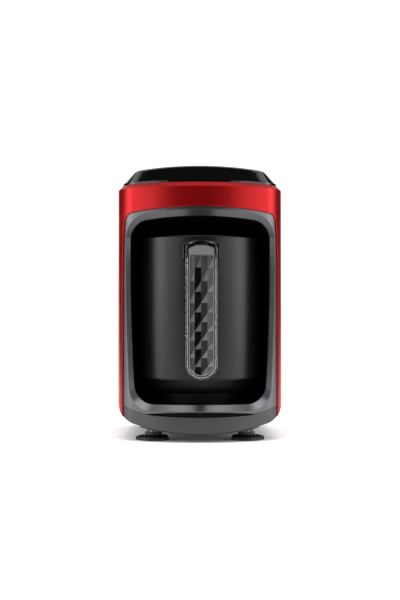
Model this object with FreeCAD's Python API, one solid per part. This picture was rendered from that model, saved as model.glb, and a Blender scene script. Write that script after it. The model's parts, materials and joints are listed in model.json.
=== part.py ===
import FreeCAD, Part
import math
import os

# Table-top hot-drink maker: a docked pot in an open-fronted housing.
# Millimetres, +Z up, the front faces -Y, the origin is under the middle of the whole outline.

V = FreeCAD.Vector

# ---------------------------------------------------------------- driving dimensions
HALF_WIDTH = 78.5          # housing, side to centre
REAR_SPACE = 62.0          # room behind the bay, to the rear cover's face
FRONT_BOW_R = 130.0        # the front is bowed in plan
FRONT_CORNER_R = 30.0
REAR_CORNER_R = 30.0
SHELL_WALL = 2.4
PANEL_GAP = 0.3            # reveal between neighbouring housing panels
FRAME_SINK = 0.5           # the frame and base lie this far inside the red wrap

BASE_LOW_Z = 7.8           # lowest point of the curved base
BASE_BOW_R = 245.0         # the base bottom is bowed from side to side
BASE_CORNER_R = 22.0
SEAM_Z = 23.4              # seam between frame and base, at the middle
SEAM_BOW_R = 700.0
SEAM_END_R = 85.0
RECESS_H = 4.7             # dark recess between frame and base, at the middle
RECESS_BOW_R = 705.0       # its top edge bows upwards
RECESS_HALF = 58.0
SEAM_FLAT_HALF = 40.0      # where the seam's long bow turns into its end curves
SHELL_TOP = 242.6          # top of the wrap's shoulder
SHOULDER = 4.1
RIM_ROUND = 1.0            # rounding of the wrap's edge along the frame
SHOULDER_OPEN = 10.2       # opening under the lid, in from the outline

FRAME_DEPTH = 9.0          # front frame, front to back
FRAME_CHAMFER = 5.6
FRAME_EDGE = 6.3           # the frame's outer edge, in from the housing's side
HOOD_H = 23.3              # wrap over the frame
FRAME_BOW_R = 450.0        # the frame's top edge
FRAME_LEAN_H = 54.5        # its sides lean in over this height
FRAME_LEAN_R = 550.0       # its sides close in towards the top
FRAME_CORNER_R = 8.0
FRAME_BACK_Y = -8.0        # the wrap's sides are notched back to here
BAY_EDGE = 12.3            # mouth of the bay, in from the housing's side
FRAME_HEAD_H = 8.0         # frame over the mouth
BAY_FLOOR_Z = 34.6
BAY_BOW_R = 436.0          # the mouth's top edge
BAY_LEAN_H = 40.7          # the mouth is widest this far below its top
BAY_LEAN_R = 1880.0        # its sides close in towards the floor
BAY_TOP_CORNER_R = 18.0
BAY_LOW_CORNER_R = 19.0
LINER_WALL = 2.0
LINER_OUT = 0.6            # the bay liner stands this far outside the mouth

LID_INSET = 5.0
LID_LIFT = 2.2             # lid's edge over the wrap's shoulder
LID_H = 15.6
LID_BOW_R = 660.0
LID_SLOPE = 0.885          # inward run for each millimetre of rise
LID_WALL = 2.4
LID_EDGE_R = 7.0

POT_SIDE_GAP = 6.2         # pot's wall to the mouth's sides
POT_HEADROOM = 18.5        # pot's rim to the mouth's top
POT_SETBACK = 4.0          # pot's front behind the housing's front
POT_BASE_Z = 45.9
SLEEVE_LOW_Z = 58.5
SLEEVE_WALL = 1.8
SKIRT_STEP = 6.2           # the skirt's top edge, in from the sleeve
SKIRT_TAPER = 6.8
SKIRT_WALL = 2.0
VESSEL_WALL = 1.0
VESSEL_FLOOR_Z = 66.2
BAY_BACK_CLEAR = 10.0      # pot's rear to the bay's rear wall

HANDLE_REACH = 41.0        # pot wall to the front of the grip
HANDLE_HALF = 15.0
HANDLE_LOW_Z = 59.5
HANDLE_DROP = 9.4          # handle's top below the pot's rim
HANDLE_BAR_DEPTH = 15.0
INSERT_HALF = 11.3
FACET_PITCH = 17.7
FACET_FIRST = 11.6         # plain row under the cap
FACET_COLUMNS = (-1.0, -0.548, -0.03, 0.484, 1.0)  # column edges, in half-widths of the insert
FACET_DEPTH = 1.9

BUTTON_R = 8.5
BUTTON_PITCH = 26.0
BUTTON_TRAVEL = 1.2
BUTTON_GAP = 0.25
BUTTON_COLLAR_R = 9.4

BASE_WALL = 2.6
INLAY_WALL = 2.0
INLAY_LAP = 4.0            # the recess's strip reaches this far down inside the base
PLATE_EDGE = 22.5          # bottom plate, in from the housing's sides
PLATE_MARGIN = 14.0        # bottom plate to the housing's front and rear
PLATE_CORNER_R = 14.0
PLATE_PROUD = 1.4          # the plate stands this far below the base
PLATE_WALL = 3.0

FOOT_EDGE = 34.3           # foot centres, in from the housing's sides
FOOT_CUP_R = 14.4
FOOT_STEM_R = 7.5
FOOT_SCREW_R = 2.0
FOOT_SCREW_HEAD_R = 3.6
CUP_NECK_Z = 7.6
FOOT_END_MARGIN = 34.0     # foot centres from the housing's front and rear

SCREW_R = 1.7
SCREW_HEAD_R = 3.4
SCREW_HEAD_H = 1.6
SKIRT_SCREW_HEAD_R = 3.0
REAR_EDGE = 18.5           # rear cover, in from the housing's sides
REAR_LOW_Z = 34.0
REAR_TOP_H = 14.6          # wrap over the rear cover
REAR_ROUND = 12.0
REAR_SCREW_X = 18.0        # screws, in from the rear cover's corners
REAR_SCREW_Z = 10.0
VENT_ROWS = 9
VENT_LOW_Z = 98.0
VENT_PITCH = 7.0
VENT_SLOT = 2.6
VENT_LENGTH = 34.0
GLAND_EDGE = 28.0          # cord inlet, in from the rear cover's side
GLAND_Z = 54.0
GLAND_R = 7.0
GLAND_BORE_R = 3.6
GLAND_LENGTH = 15.0
GLAND_INNER = 3.0          # gland's nut inside the cover

FLOOR_LAP = 22.0           # the bay's floor turns up this far at its sides
DOCK_STEP = 7.0            # dock's edge, in from the pot's foot
DOCK_HALF = 16.0           # socket block in the bay's rear wall
DOCK_LOW_Z = 46.8
DOCK_HEIGHT = 9.0
DOCK_PROUD = 9.0
CONNECTOR_HALF = 13.0
PIN_R = 1.5
PIN_PITCH = 8.0
PIN_PROUD = 11.0
SOCKET_R = 2.5
SENSOR_R = 5.0
SENSOR_H = 14.0
SENSOR_LENS_H = 1.2
BOARD_WALL = 1.6
BOARD_SCREW_R = 1.5
BOARD_STANDOFF = 6.0
POWER_BOARD_HALF = 54.0
POWER_BOARD_LOW_Z = 78.0
POWER_BOARD_H = 102.0
POWER_BOARD_EDGE = 6.0     # its screws, in from the corners
CONTROL_BOARD_DROP = 20.8  # control board below the lid's crown
SWITCH_H = 4.3

FASCIA_HALF_X = 42.0
FASCIA_HALF_Y = 16.0
FASCIA_CORNER_R = 6.0
FASCIA_MARGIN = 52.0       # strip's middle behind the housing's front
FASCIA_LEDGE_DROP = 8.0    # the strip's ledge below the lid's crown
LEDGE_WALL = 1.6
LEDGE_WIDTH = 3.0
BUTTON_PROUD = 1.3
LENS_R = 1.6
LENS_OFFSET = 11.2

COLLAR_H = 5.0
SPOUT_TOP_R = 6.5
SPOUT_REACH = 2.0
SPOUT_H = 15.0
HEATER_STEP = 10.0         # heater plate's edge, in from the sleeve
HEATER_H = 3.0
COVER_WALL = 2.1
HOOD_WALL = 1.6            # hood round the grip's upper end
HOOD_SETBACK = 1.6
HOOD_DROP = 15.0
CAP_H = 11.5               # light cap at the top of the grip

# ---------------------------------------------------------------- places worked out from them
FRAME_HALF = HALF_WIDTH - FRAME_EDGE
FRAME_TOP = SHELL_TOP - HOOD_H
BAY_HALF = HALF_WIDTH - BAY_EDGE
BAY_TOP = FRAME_TOP - FRAME_HEAD_H
LID_LOW_Z = SHELL_TOP + LID_LIFT
LID_CROWN_Z = LID_LOW_Z + LID_H
FASCIA_LEDGE_Z = LID_CROWN_Z - FASCIA_LEDGE_DROP
CONTROL_BOARD_Z = LID_CROWN_Z - CONTROL_BOARD_DROP
POT_R = BAY_HALF - POT_SIDE_GAP
POT_TOP_Z = BAY_TOP - POT_HEADROOM
HOUSING_DEPTH = POT_SETBACK + 2 * POT_R + BAY_BACK_CLEAR + REAR_SPACE
SKIRT_TOP_R = POT_R - SKIRT_STEP
SKIRT_LOW_R = SKIRT_TOP_R - SKIRT_TAPER
DOCK_R = SKIRT_LOW_R - DOCK_STEP
HEATER_R = POT_R - HEATER_STEP
ELEMENT_R = HEATER_R / 2
HANDLE_TOP_Z = POT_TOP_Z - HANDLE_DROP
CAP_LOW_Z = HANDLE_TOP_Z - CAP_H
PLATE_HALF = HALF_WIDTH - PLATE_EDGE
FOOT_X = HALF_WIDTH - FOOT_EDGE
REAR_HALF = HALF_WIDTH - REAR_EDGE
REAR_TOP_Z = SHELL_TOP - REAR_TOP_H
GLAND_X = REAR_HALF - GLAND_EDGE
HANDLE_PROUD = HANDLE_REACH - POT_SETBACK
GLAND_PROUD = GLAND_LENGTH - GLAND_INNER - SHELL_WALL - PANEL_GAP
FRONT_Y = HANDLE_PROUD - (HOUSING_DEPTH + HANDLE_PROUD + GLAND_PROUD) / 2
REAR_Y = FRONT_Y + HOUSING_DEPTH
POT_Y = FRONT_Y + POT_SETBACK + POT_R
GRIP_Y = POT_Y - POT_R - HANDLE_REACH
BAY_BACK_Y = POT_Y + POT_R + BAY_BACK_CLEAR
SENSOR_Y = POT_Y
FASCIA_Y = FRONT_Y + FASCIA_MARGIN
FOOT_YS = (FRONT_Y + FOOT_END_MARGIN, REAR_Y - FOOT_END_MARGIN)
FAR = 400.0                # longer than any piece, for cutting prisms


# ---------------------------------------------------------------- small helpers
def arc(a, b, c):
    """Edge of a circle through three points."""
    return Part.Arc(V(*a), V(*b), V(*c)).toShape()


def line(a, b):
    return Part.LineSegment(V(*a), V(*b)).toShape()


def cyl(radius, length, base, axis=(0, 0, 1)):
    return Part.makeCylinder(radius, length, V(*base), V(*axis))


def tube(outer, inner, length, base, axis=(0, 0, 1)):
    return cyl(outer, length, base, axis).cut(cyl(inner, length, base, axis))


def block(x0, x1, y0, y1, z0, z1):
    return Part.makeBox(x1 - x0, y1 - y0, z1 - z0, V(x0, y0, z0))


def joined(shapes):
    """One shape made of touching solids."""
    shape = shapes[0].multiFuse(shapes[1:]) if len(shapes) > 1 else shapes[0]
    return shape.removeSplitter()


def group(shapes):
    """Separate solids that share one node."""
    return Part.makeCompound([s for shape in shapes for s in shape.Solids])


def revolve(points, base=(0, 0, 0), axis=(0, 0, 1)):
    """Solid of revolution of a closed (radius, height) outline about a vertical line."""
    pts = [V(base[0] + r, base[1], base[2] + z) for r, z in points]
    wire = Part.makePolygon(pts + [pts[0]])
    return Part.Face(wire).revolve(V(*base), V(*axis), 360)


def rounded_box(x0, x1, y0, y1, z0, z1, radius, axis="z"):
    """Block whose edges along one axis are rounded."""
    solid = block(x0, x1, y0, y1, z0, z1)
    pick = {"x": 0, "y": 1, "z": 2}[axis]
    edges = []
    for edge in solid.Edges:
        step = edge.Vertexes[1].Point - edge.Vertexes[0].Point
        if abs(step[pick]) > 1e-6:
            edges.append(edge)
    return solid.makeFillet(radius, edges)


# ---------------------------------------------------------------- the housing's outer form
def plan_wire(inset, z):
    """Housing outline seen from above: bowed front, straight sides, rounded rear corners."""
    half = HALF_WIDTH - inset
    front_r = FRONT_BOW_R - inset
    corner = FRONT_CORNER_R - inset
    rear_r = max(REAR_CORNER_R - inset, 1.0)
    bow_y = FRONT_Y + FRONT_BOW_R
    corner_x = HALF_WIDTH - FRONT_CORNER_R
    corner_y = bow_y - math.sqrt((FRONT_BOW_R - FRONT_CORNER_R) ** 2 - corner_x ** 2)
    turn = math.atan2(bow_y - corner_y, corner_x)
    tx = front_r * math.cos(turn)
    ty = bow_y - front_r * math.sin(turn)
    mx = corner_x + corner * math.cos(turn / 2)
    my = corner_y - corner * math.sin(turn / 2)
    rear = REAR_Y - inset
    k = rear_r * (1 - math.sqrt(0.5))
    edges = [
        arc((-tx, ty, z), (0, FRONT_Y + inset, z), (tx, ty, z)),
        arc((tx, ty, z), (mx, my, z), (half, corner_y, z)),
        line((half, corner_y, z), (half, rear - rear_r, z)),
        arc((half, rear - rear_r, z), (half - k, rear - k, z), (half - rear_r, rear, z)),
        line((half - rear_r, rear, z), (rear_r - half, rear, z)),
        arc((rear_r - half, rear, z), (k - half, rear - k, z), (-half, rear - rear_r, z)),
        line((-half, rear - rear_r, z), (-half, corner_y, z)),
        arc((-half, corner_y, z), (-mx, my, z), (-tx, ty, z)),
    ]
    return Part.Wire(edges)


def plan_prism(inset, z0, z1):
    return Part.Face(plan_wire(inset, z0)).extrude(V(0, 0, z1 - z0))


def bow_z(x, low, radius):
    """Height of a shallow upward bow at a distance from the middle."""
    return low + radius - math.sqrt(radius ** 2 - x ** 2)


def front_prism(edges, y0=-FAR / 2, y1=FAR / 2):
    """Prism along Y of a closed outline in the plane y = y0."""
    return Part.Face(Part.Wire(edges)).extrude(V(0, y1 - y0, 0))


def above_bottom(lift, y0=-FAR / 2, y1=FAR / 2):
    """Everything over the base's bowed underside, lifted along its normals."""
    half = HALF_WIDTH - lift
    radius = BASE_BOW_R - lift
    corner = BASE_CORNER_R - lift
    cz = BASE_LOW_Z + BASE_BOW_R
    kx = HALF_WIDTH - BASE_CORNER_R
    kz = cz - math.sqrt((BASE_BOW_R - BASE_CORNER_R) ** 2 - kx ** 2)
    turn = math.atan2(cz - kz, kx)
    tx = radius * math.cos(turn)
    tz = cz - radius * math.sin(turn)
    mx = kx + corner * math.cos(turn / 2)
    mz = kz - corner * math.sin(turn / 2)
    return front_prism([
        arc((-tx, y0, tz), (0, y0, BASE_LOW_Z + lift), (tx, y0, tz)),
        arc((tx, y0, tz), (mx, y0, mz), (half, y0, kz)),
        line((half, y0, kz), (half, y0, FAR)),
        line((half, y0, FAR), (-half, y0, FAR)),
        line((-half, y0, FAR), (-half, y0, kz)),
        arc((-half, y0, kz), (-mx, y0, mz), (-tx, y0, tz)),
    ], y0, y1)


def envelope(inset, top, shoulder=0.0):
    """The housing's outer form, or the same form drawn in by the inset."""
    solid = plan_prism(inset, 0, top)
    if shoulder:
        rim = [e for e in solid.Edges if all(abs(v.Z - top) < 1e-6 for v in e.Vertexes)]
        solid = solid.makeChamfer(shoulder, rim)
    return solid.common(above_bottom(inset))


def seam_prism(drop, upper=True):
    """Everything over (or under) the curved seam between frame and base."""
    y0 = -FAR / 2
    flat = SEAM_FLAT_HALF
    low = SEAM_Z + drop
    z1 = bow_z(flat, low, SEAM_BOW_R)
    lean = math.asin(flat / SEAM_BOW_R)
    cx = flat - SEAM_END_R * math.sin(lean)
    cz = z1 + SEAM_END_R * math.cos(lean)
    end = math.asin((HALF_WIDTH + 1 - cx) / SEAM_END_R)
    mid = (lean + end) / 2
    pm = (cx + SEAM_END_R * math.sin(mid), cz - SEAM_END_R * math.cos(mid))
    pe = (HALF_WIDTH + 1, cz - SEAM_END_R * math.cos(end))
    far = FAR if upper else -FAR
    return front_prism([
        arc((-flat, y0, z1), (0, y0, low), (flat, y0, z1)),
        arc((flat, y0, z1), (pm[0], y0, pm[1]), (pe[0], y0, pe[1])),
        line((pe[0], y0, pe[1]), (pe[0], y0, far)),
        line((pe[0], y0, far), (-pe[0], y0, far)),
        line((-pe[0], y0, far), (-pe[0], y0, pe[1])),
        arc((-pe[0], y0, pe[1]), (-pm[0], y0, pm[1]), (-flat, y0, z1)),
    ])


def under_recess(drop, half):
    """Everything under the upward bow of the recess between frame and base."""
    y0 = -FAR / 2
    top = SEAM_Z + RECESS_H - drop
    side = top - drift(half, RECESS_BOW_R)
    return front_prism([
        arc((-half, y0, side), (0, y0, top), (half, y0, side)),
        line((half, y0, side), (half, y0, -FAR)),
        line((half, y0, -FAR), (-half, y0, -FAR)),
        line((-half, y0, -FAR), (-half, y0, side)),
    ], y0, FRAME_BACK_Y)


def drift(run, radius):
    """Inward drift of a gentle curve after a run along it; no radius means a straight side."""
    return radius - math.sqrt(radius ** 2 - run ** 2) if radius else 0.0


def side_edge(half, y0, z0, z1, radius):
    """Side of an arch from its widest height z0 to z1."""
    zm = (z0 + z1) / 2
    start = (half, y0, z0)
    end = (half - math.copysign(drift(z1 - z0, radius), half), y0, z1)
    if not radius:
        return line(start, end)
    return arc(start, (half - math.copysign(drift(zm - z0, radius), half), y0, zm), end)


def arched_prism(half, top, low, bow, side_z, lean_up, lean_down, y0, y1):
    """Prism along Y of an arch: bowed top, sides that lean in above and below a given height."""
    top_end = top - drift(half, bow)
    up_x = half - drift(top_end - side_z, lean_up)
    down_x = half - drift(side_z - low, lean_down)
    top_up = top - drift(up_x, bow)
    up_x = half - drift(top_up - side_z, lean_up)
    edges = [
        line((-down_x, y0, low), (down_x, y0, low)),
        side_edge(half, y0, side_z, low, lean_down),
        side_edge(half, y0, side_z, top_up, lean_up),
        arc((-up_x, y0, top_up), (0, y0, top), (up_x, y0, top_up)),
        side_edge(-half, y0, side_z, top_up, lean_up),
        side_edge(-half, y0, side_z, low, lean_down),
    ]
    return front_prism(Part.__sortEdges__(edges), y0, y1)


def rounded_along_y(solid, radius, z0, z1):
    """Round the edges along Y whose height lies between two limits."""
    edges = []
    for edge in solid.Edges:
        a, b = (v.Point for v in edge.Vertexes)
        if abs(a.y - b.y) > 1 and z0 < a.z < z1 and abs(a.x) > HALF_WIDTH / 4:
            edges.append(edge)
    return solid.makeFillet(radius, edges)


def frame_outline(grow, y0=-FAR / 2, y1=FRAME_BACK_Y):
    """Prism of the arched outline that the front frame and base fill."""
    side_z = FRAME_TOP - FRAME_LEAN_H
    solid = arched_prism(FRAME_HALF + grow, FRAME_TOP + grow, -10, FRAME_BOW_R, side_z,
                         FRAME_LEAN_R, None, y0, y1)
    return rounded_along_y(solid, FRAME_CORNER_R + grow, side_z + 1, FRAME_TOP + grow)


def bay_outline(grow, y0=-FAR / 2, y1=FAR / 2):
    """Prism of the bay's mouth, grown outwards."""
    side_z = BAY_TOP - BAY_LEAN_H
    solid = arched_prism(BAY_HALF + grow, BAY_TOP + grow, BAY_FLOOR_Z - grow, BAY_BOW_R, side_z,
                         None, BAY_LEAN_R, y0, y1)
    solid = rounded_along_y(solid, BAY_TOP_CORNER_R + grow, side_z + 1, BAY_TOP + grow)
    return rounded_along_y(solid, BAY_LOW_CORNER_R + grow, BAY_FLOOR_Z - grow - 1, side_z - 1)


def rear_outline(grow, y0, y1):
    """Prism of the rear opening."""
    return rounded_box(-REAR_HALF - grow, REAR_HALF + grow, y0, y1, REAR_LOW_Z - grow, REAR_TOP_Z + grow,
                       REAR_ROUND + grow, "y")


# ---------------------------------------------------------------- housing pieces
def side_and_top_shell():
    """Lacquered wrap: both sides, the hood over the bay and the shoulder under the lid."""
    shell = envelope(0, SHELL_TOP, SHOULDER).cut(envelope(SHELL_WALL, SHELL_TOP - SHELL_WALL, SHOULDER))
    shell = shell.cut(plan_prism(SHOULDER_OPEN, SHELL_TOP - 20, SHELL_TOP + 1))
    shell = shell.cut(frame_outline(PANEL_GAP))
    middle = block(-FRAME_HALF - PANEL_GAP, FRAME_HALF + PANEL_GAP, -FAR / 2, FAR / 2, -1, FAR)
    shell = shell.cut(seam_prism(PANEL_GAP / 2, False).common(middle))
    shell = shell.cut(rear_outline(PANEL_GAP, REAR_Y - 40, REAR_Y + 1))
    def along_frame(p):
        return p.y < FRAME_BACK_Y and abs(p.x) < FRAME_HALF + 1 and SEAM_Z + 6 < p.z < FRAME_TOP + 1
    return shell.makeFillet(RIM_ROUND, opening_edges(shell, 0, along_frame))


def opening_edges(solid, inset, inside):
    """Front edges of an opening: those that lie on the bowed outer face and inside an outline."""
    picked = []
    for edge in solid.Edges:
        span = edge.LastParameter - edge.FirstParameter
        points = [edge.valueAt(edge.FirstParameter + span * k) for k in (0.03, 0.5, 0.97)]
        if all(inside(p) for p in points):
            near = [plan_wire(inset, p.z).distToShape(Part.Vertex(p))[0] for p in points]
            if max(near) < 1e-3:
                picked.append(edge)
    return picked


def front_frame():
    """Gunmetal frame round the bay's mouth, with a broad chamfer along the mouth."""
    solid = envelope(FRAME_SINK, SHELL_TOP).cut(envelope(FRAME_DEPTH, SHELL_TOP + 1))
    solid = solid.common(frame_outline(0)).common(seam_prism(PANEL_GAP / 2))
    solid = solid.cut(bay_outline(0)).cut(under_recess(0, RECESS_HALF))
    def inside(p):
        return p.y < 0 and abs(p.x) < BAY_HALF + 0.1 and BAY_FLOOR_Z - 0.1 < p.z < BAY_TOP + 0.1
    edges = opening_edges(solid, FRAME_SINK, inside)
    return solid.makeChamfer(FRAME_CHAMFER, edges)


def seam_inlay():
    """Black strip inside the base that closes the recess under the frame."""
    outer = FRAME_SINK + BASE_WALL + 0.1
    strip = envelope(outer, SHELL_TOP).cut(envelope(outer + INLAY_WALL, SHELL_TOP + 1))
    strip = strip.common(under_recess(0.05, RECESS_HALF - 4.0))
    return strip.cut(block(-FAR, FAR, -FAR, FAR, -FAR, SEAM_Z - INLAY_LAP))


def base_shell():
    """Lower gunmetal tray under the seam, open above and below."""
    solid = envelope(FRAME_SINK, SHELL_TOP).cut(envelope(FRAME_SINK + BASE_WALL, SHELL_TOP + 1))
    solid = solid.common(seam_prism(-PANEL_GAP / 2, False))
    solid = solid.common(block(-FRAME_HALF, FRAME_HALF, -FAR / 2, FAR / 2, 0, FAR))
    solid = solid.cut(plate_outline(PANEL_GAP, -1, SEAM_Z))
    return solid.Solids[0]


def plate_outline(grow, z0, z1):
    return rounded_box(-PLATE_HALF - grow, PLATE_HALF + grow, FRONT_Y + PLATE_MARGIN - grow,
                       REAR_Y - PLATE_MARGIN + grow, z0, z1, PLATE_CORNER_R + grow)


def bottom_plate():
    """Bowed plate that closes the base and carries the feet."""
    solid = above_bottom(-PLATE_PROUD).cut(above_bottom(PLATE_WALL - PLATE_PROUD))
    solid = solid.common(plate_outline(0, -1, SEAM_Z))
    seats = [cyl(FOOT_STEM_R + 2, PLATE_WALL + 6, (x, y, foot_seat_z())) for x, y in foot_places()]
    solid = joined([solid] + [s.common(above_bottom(-PLATE_PROUD)) for s in seats])
    for x, y in foot_places():
        solid = solid.cut(cyl(FOOT_SCREW_R + 0.1, 30, (x, y, -1)))
    return solid


def foot_places():
    return [(x, y) for x in (-FOOT_X, FOOT_X) for y in FOOT_YS]


def foot_seat_z():
    """Height of the plate's underside over a foot."""
    return bow_z(FOOT_X, BASE_LOW_Z - PLATE_PROUD, BASE_BOW_R + PLATE_PROUD)


def foot_stems():
    """Four stems between the plate and the suction cups."""
    stems = []
    for x, y in foot_places():
        stem = tube(FOOT_STEM_R, FOOT_SCREW_R + 0.1, 20, (x, y, CUP_NECK_Z))
        stems.append(stem.cut(above_bottom(-PLATE_PROUD)))
    return group(stems)


def suction_cups():
    """Four rubber cups with a flat lip, a hollow underside and a release tab."""
    cups = []
    for x, y in foot_places():
        cup = revolve([
            (FOOT_SCREW_R + 0.1, CUP_NECK_Z), (FOOT_STEM_R + 1.5, CUP_NECK_Z),
            (FOOT_STEM_R + 2.2, CUP_NECK_Z - 1.2),
            (FOOT_CUP_R - 2.0, 3.2), (FOOT_CUP_R, 1.0), (FOOT_CUP_R, 0), (FOOT_CUP_R - 2.4, 0),
            (FOOT_CUP_R - 4.5, 1.5), (FOOT_SCREW_HEAD_R + 0.2, 2.2), (FOOT_SCREW_R + 0.1, 2.2),
        ], (x, y, 0))
        side = math.copysign(1, x)
        tab = rounded_box(-3, 3, FOOT_CUP_R - 2.5, FOOT_CUP_R + 2.8, 1.2, 2.8, 0.7)
        tab.rotate(V(0, 0, 0), V(0, 0, 1), -90 * side)
        tab.translate(V(x, y, 0))
        cups.append(joined([cup, tab]))
    return group(cups)


def foot_screws():
    """Screws up through cup, stem and plate."""
    screws = []
    for x, y in foot_places():
        shank = cyl(FOOT_SCREW_R, foot_seat_z() + 4.0, (x, y, 1.2))
        screws.append(joined([shank, cyl(FOOT_SCREW_HEAD_R, 1.0, (x, y, 1.2))]))
    return group(screws)


def rear_cover():
    """Rear panel with two fields of vents, a cord inlet and a screw at each corner."""
    solid = envelope(PANEL_GAP, SHELL_TOP).cut(envelope(PANEL_GAP + SHELL_WALL, SHELL_TOP + 1))
    solid = solid.common(rear_outline(0, REAR_Y - 40, REAR_Y + 1))
    slots = []
    for row in range(VENT_ROWS):
        z = VENT_LOW_Z + row * VENT_PITCH
        for x in (-VENT_LENGTH / 2 - 3, VENT_LENGTH / 2 + 3):
            slots.append(rounded_box(x - VENT_LENGTH / 2, x + VENT_LENGTH / 2, REAR_Y - 8, REAR_Y + 1,
                                     z, z + VENT_SLOT, VENT_SLOT / 2 - 0.05, "y"))
    solid = solid.cut(Part.makeCompound(slots))
    solid = solid.cut(cyl(GLAND_R, 20, (GLAND_X, REAR_Y - 10, GLAND_Z), (0, 1, 0)))
    for x, z in rear_screw_places():
        solid = solid.cut(cyl(SCREW_R + 0.1, 20, (x, REAR_Y - 10, z), (0, 1, 0)))
    return solid.Solids[0]


def rear_screw_places():
    x, low, top = REAR_HALF - REAR_SCREW_X, REAR_LOW_Z + REAR_SCREW_Z, REAR_TOP_Z - REAR_SCREW_Z
    return [(-x, low), (-x, top), (x, low), (x, top)]


def rear_screws():
    """Four screws through the rear cover."""
    y = REAR_Y - PANEL_GAP
    screws = []
    for x, z in rear_screw_places():
        head = cyl(SCREW_HEAD_R, SCREW_HEAD_H, (x, y, z), (0, 1, 0))
        head = head.cut(cross_recess(x, y + SCREW_HEAD_H, z))
        screws.append(joined([head, cyl(SCREW_R, 12, (x, y - 12, z), (0, 1, 0))]))
    return group(screws)


def cross_recess(x, y, z):
    """Cross-shaped cut in a screw head that faces +Y."""
    arm, half, deep = SCREW_HEAD_R * 0.6, 0.45, 0.8
    return joined([block(x - arm, x + arm, y - deep, y + 1, z - half, z + half),
                   block(x - half, x + half, y - deep, y + 1, z - arm, z + arm)])


def cord_gland():
    """Inlet bush in the rear cover, with a bore for the cord."""
    y = REAR_Y - PANEL_GAP - SHELL_WALL
    neck, seat = GLAND_R - 0.1, GLAND_INNER + SHELL_WALL
    body = revolve([
        (GLAND_BORE_R, 0), (GLAND_R + 2.2, 0), (GLAND_R + 2.2, GLAND_INNER), (neck, GLAND_INNER), (neck, seat),
        (GLAND_R + 2.5, seat), (GLAND_R + 2.0, seat + 2), (GLAND_BORE_R + 2.0, GLAND_LENGTH),
        (GLAND_BORE_R, GLAND_LENGTH),
    ])
    body.rotate(V(0, 0, 0), V(1, 0, 0), -90)
    body.translate(V(GLAND_X, y - GLAND_INNER, GLAND_Z))
    return body


# ---------------------------------------------------------------- the bay
def liner_back(grow):
    return BAY_BACK_Y + grow


def behind_frame():
    """Room behind the front frame and between its sides."""
    rear = block(-FAR, FAR, FRAME_BACK_Y + PANEL_GAP, FAR, 0, SHELL_TOP)
    return plan_prism(FRAME_DEPTH + 0.2, 0, SHELL_TOP).fuse(rear)


def cavity_liner():
    """Black lining of the bay: side walls, arched roof and rear wall, with an edge behind the frame."""
    outer = bay_outline(LINER_OUT + LINER_WALL, FRONT_Y, liner_back(LINER_WALL))
    inner = bay_outline(LINER_OUT, FRONT_Y - 1, liner_back(0))
    solid = outer.cut(inner).common(behind_frame())
    solid = solid.cut(block(-FAR, FAR, -FAR, FAR, -FAR, BAY_FLOOR_Z + FLOOR_LAP))
    solid = solid.cut(dock_block(0.2))
    solid = solid.cut(cyl(SENSOR_R + 0.1, 20, (0, SENSOR_Y, BAY_TOP - 10)))
    posts = []
    for x, z in power_board_posts():
        posts.append(cyl(3.0, BOARD_STANDOFF, (x, liner_back(LINER_WALL), z), (0, 1, 0)))
    solid = joined([solid.Solids[0]] + posts)
    for x, z in power_board_posts():
        solid = solid.cut(cyl(BOARD_SCREW_R, 20, (x, liner_back(LINER_WALL), z), (0, 1, 0)))
    return solid


def cavity_floor():
    """Floor of the bay with the raised dock that the pot stands on."""
    floor = bay_outline(LINER_OUT + LINER_WALL, FRONT_Y, liner_back(LINER_WALL))
    floor = floor.cut(bay_outline(LINER_OUT, FRONT_Y - 1, FAR / 2))
    floor = floor.common(behind_frame())
    floor = floor.cut(block(-FAR, FAR, -FAR, FAR, BAY_FLOOR_Z + FLOOR_LAP - 0.2, FAR))
    low = BAY_FLOOR_Z - LINER_OUT
    dock = cyl(DOCK_R, POT_BASE_Z - low - 0.3, (0, POT_Y, low))
    tongue = block(-DOCK_R * 0.6, DOCK_R * 0.6, POT_Y, liner_back(0), low, POT_BASE_Z - 0.3)
    dock = dock.fuse(tongue).removeSplitter()
    rim = [e for e in dock.Edges if all(abs(v.Z - POT_BASE_Z + 0.3) < 1e-6 for v in e.Vertexes)]
    dock = dock.makeChamfer(1.5, rim)
    solid = joined([floor.Solids[0], dock])
    return solid.cut(dock_block(0.2)).cut(cyl(DOCK_R - 5, 7, (0, POT_Y, BAY_FLOOR_Z - 4)))


def dock_block(grow):
    return block(-DOCK_HALF - grow, DOCK_HALF + grow, BAY_BACK_Y - DOCK_PROUD, BAY_BACK_Y + 14,
                 DOCK_LOW_Z - grow, DOCK_LOW_Z + DOCK_HEIGHT + grow)


def pin_places():
    return [(x, DOCK_LOW_Z + DOCK_HEIGHT / 2) for x in (-PIN_PITCH, 0, PIN_PITCH)]


def dock_socket():
    """Insulating block in the bay's rear wall that holds the contact pins."""
    solid = dock_block(0)
    flange = block(-DOCK_HALF - 4, DOCK_HALF + 4, BAY_BACK_Y + LINER_WALL + 0.1, BAY_BACK_Y + LINER_WALL + 3,
                   DOCK_LOW_Z - 3, DOCK_LOW_Z + DOCK_HEIGHT + 4)
    solid = joined([solid, flange])
    for x, z in pin_places():
        solid = solid.cut(cyl(PIN_R, 60, (x, BAY_BACK_Y - 30, z), (0, 1, 0)))
    return solid


def dock_contact_pins():
    """Three pins that enter the pot's connector as it slides home."""
    pins = []
    for x, z in pin_places():
        y = BAY_BACK_Y - DOCK_PROUD - PIN_PROUD
        pin = cyl(PIN_R, PIN_PROUD + DOCK_PROUD + 20, (x, y, z), (0, 1, 0))
        tip = [e for e in pin.Edges if e.Closed and abs(e.Vertexes[0].Y - y) < 1e-6]
        pins.append(pin.makeChamfer(PIN_R * 0.4, tip))
    return group(pins)


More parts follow.
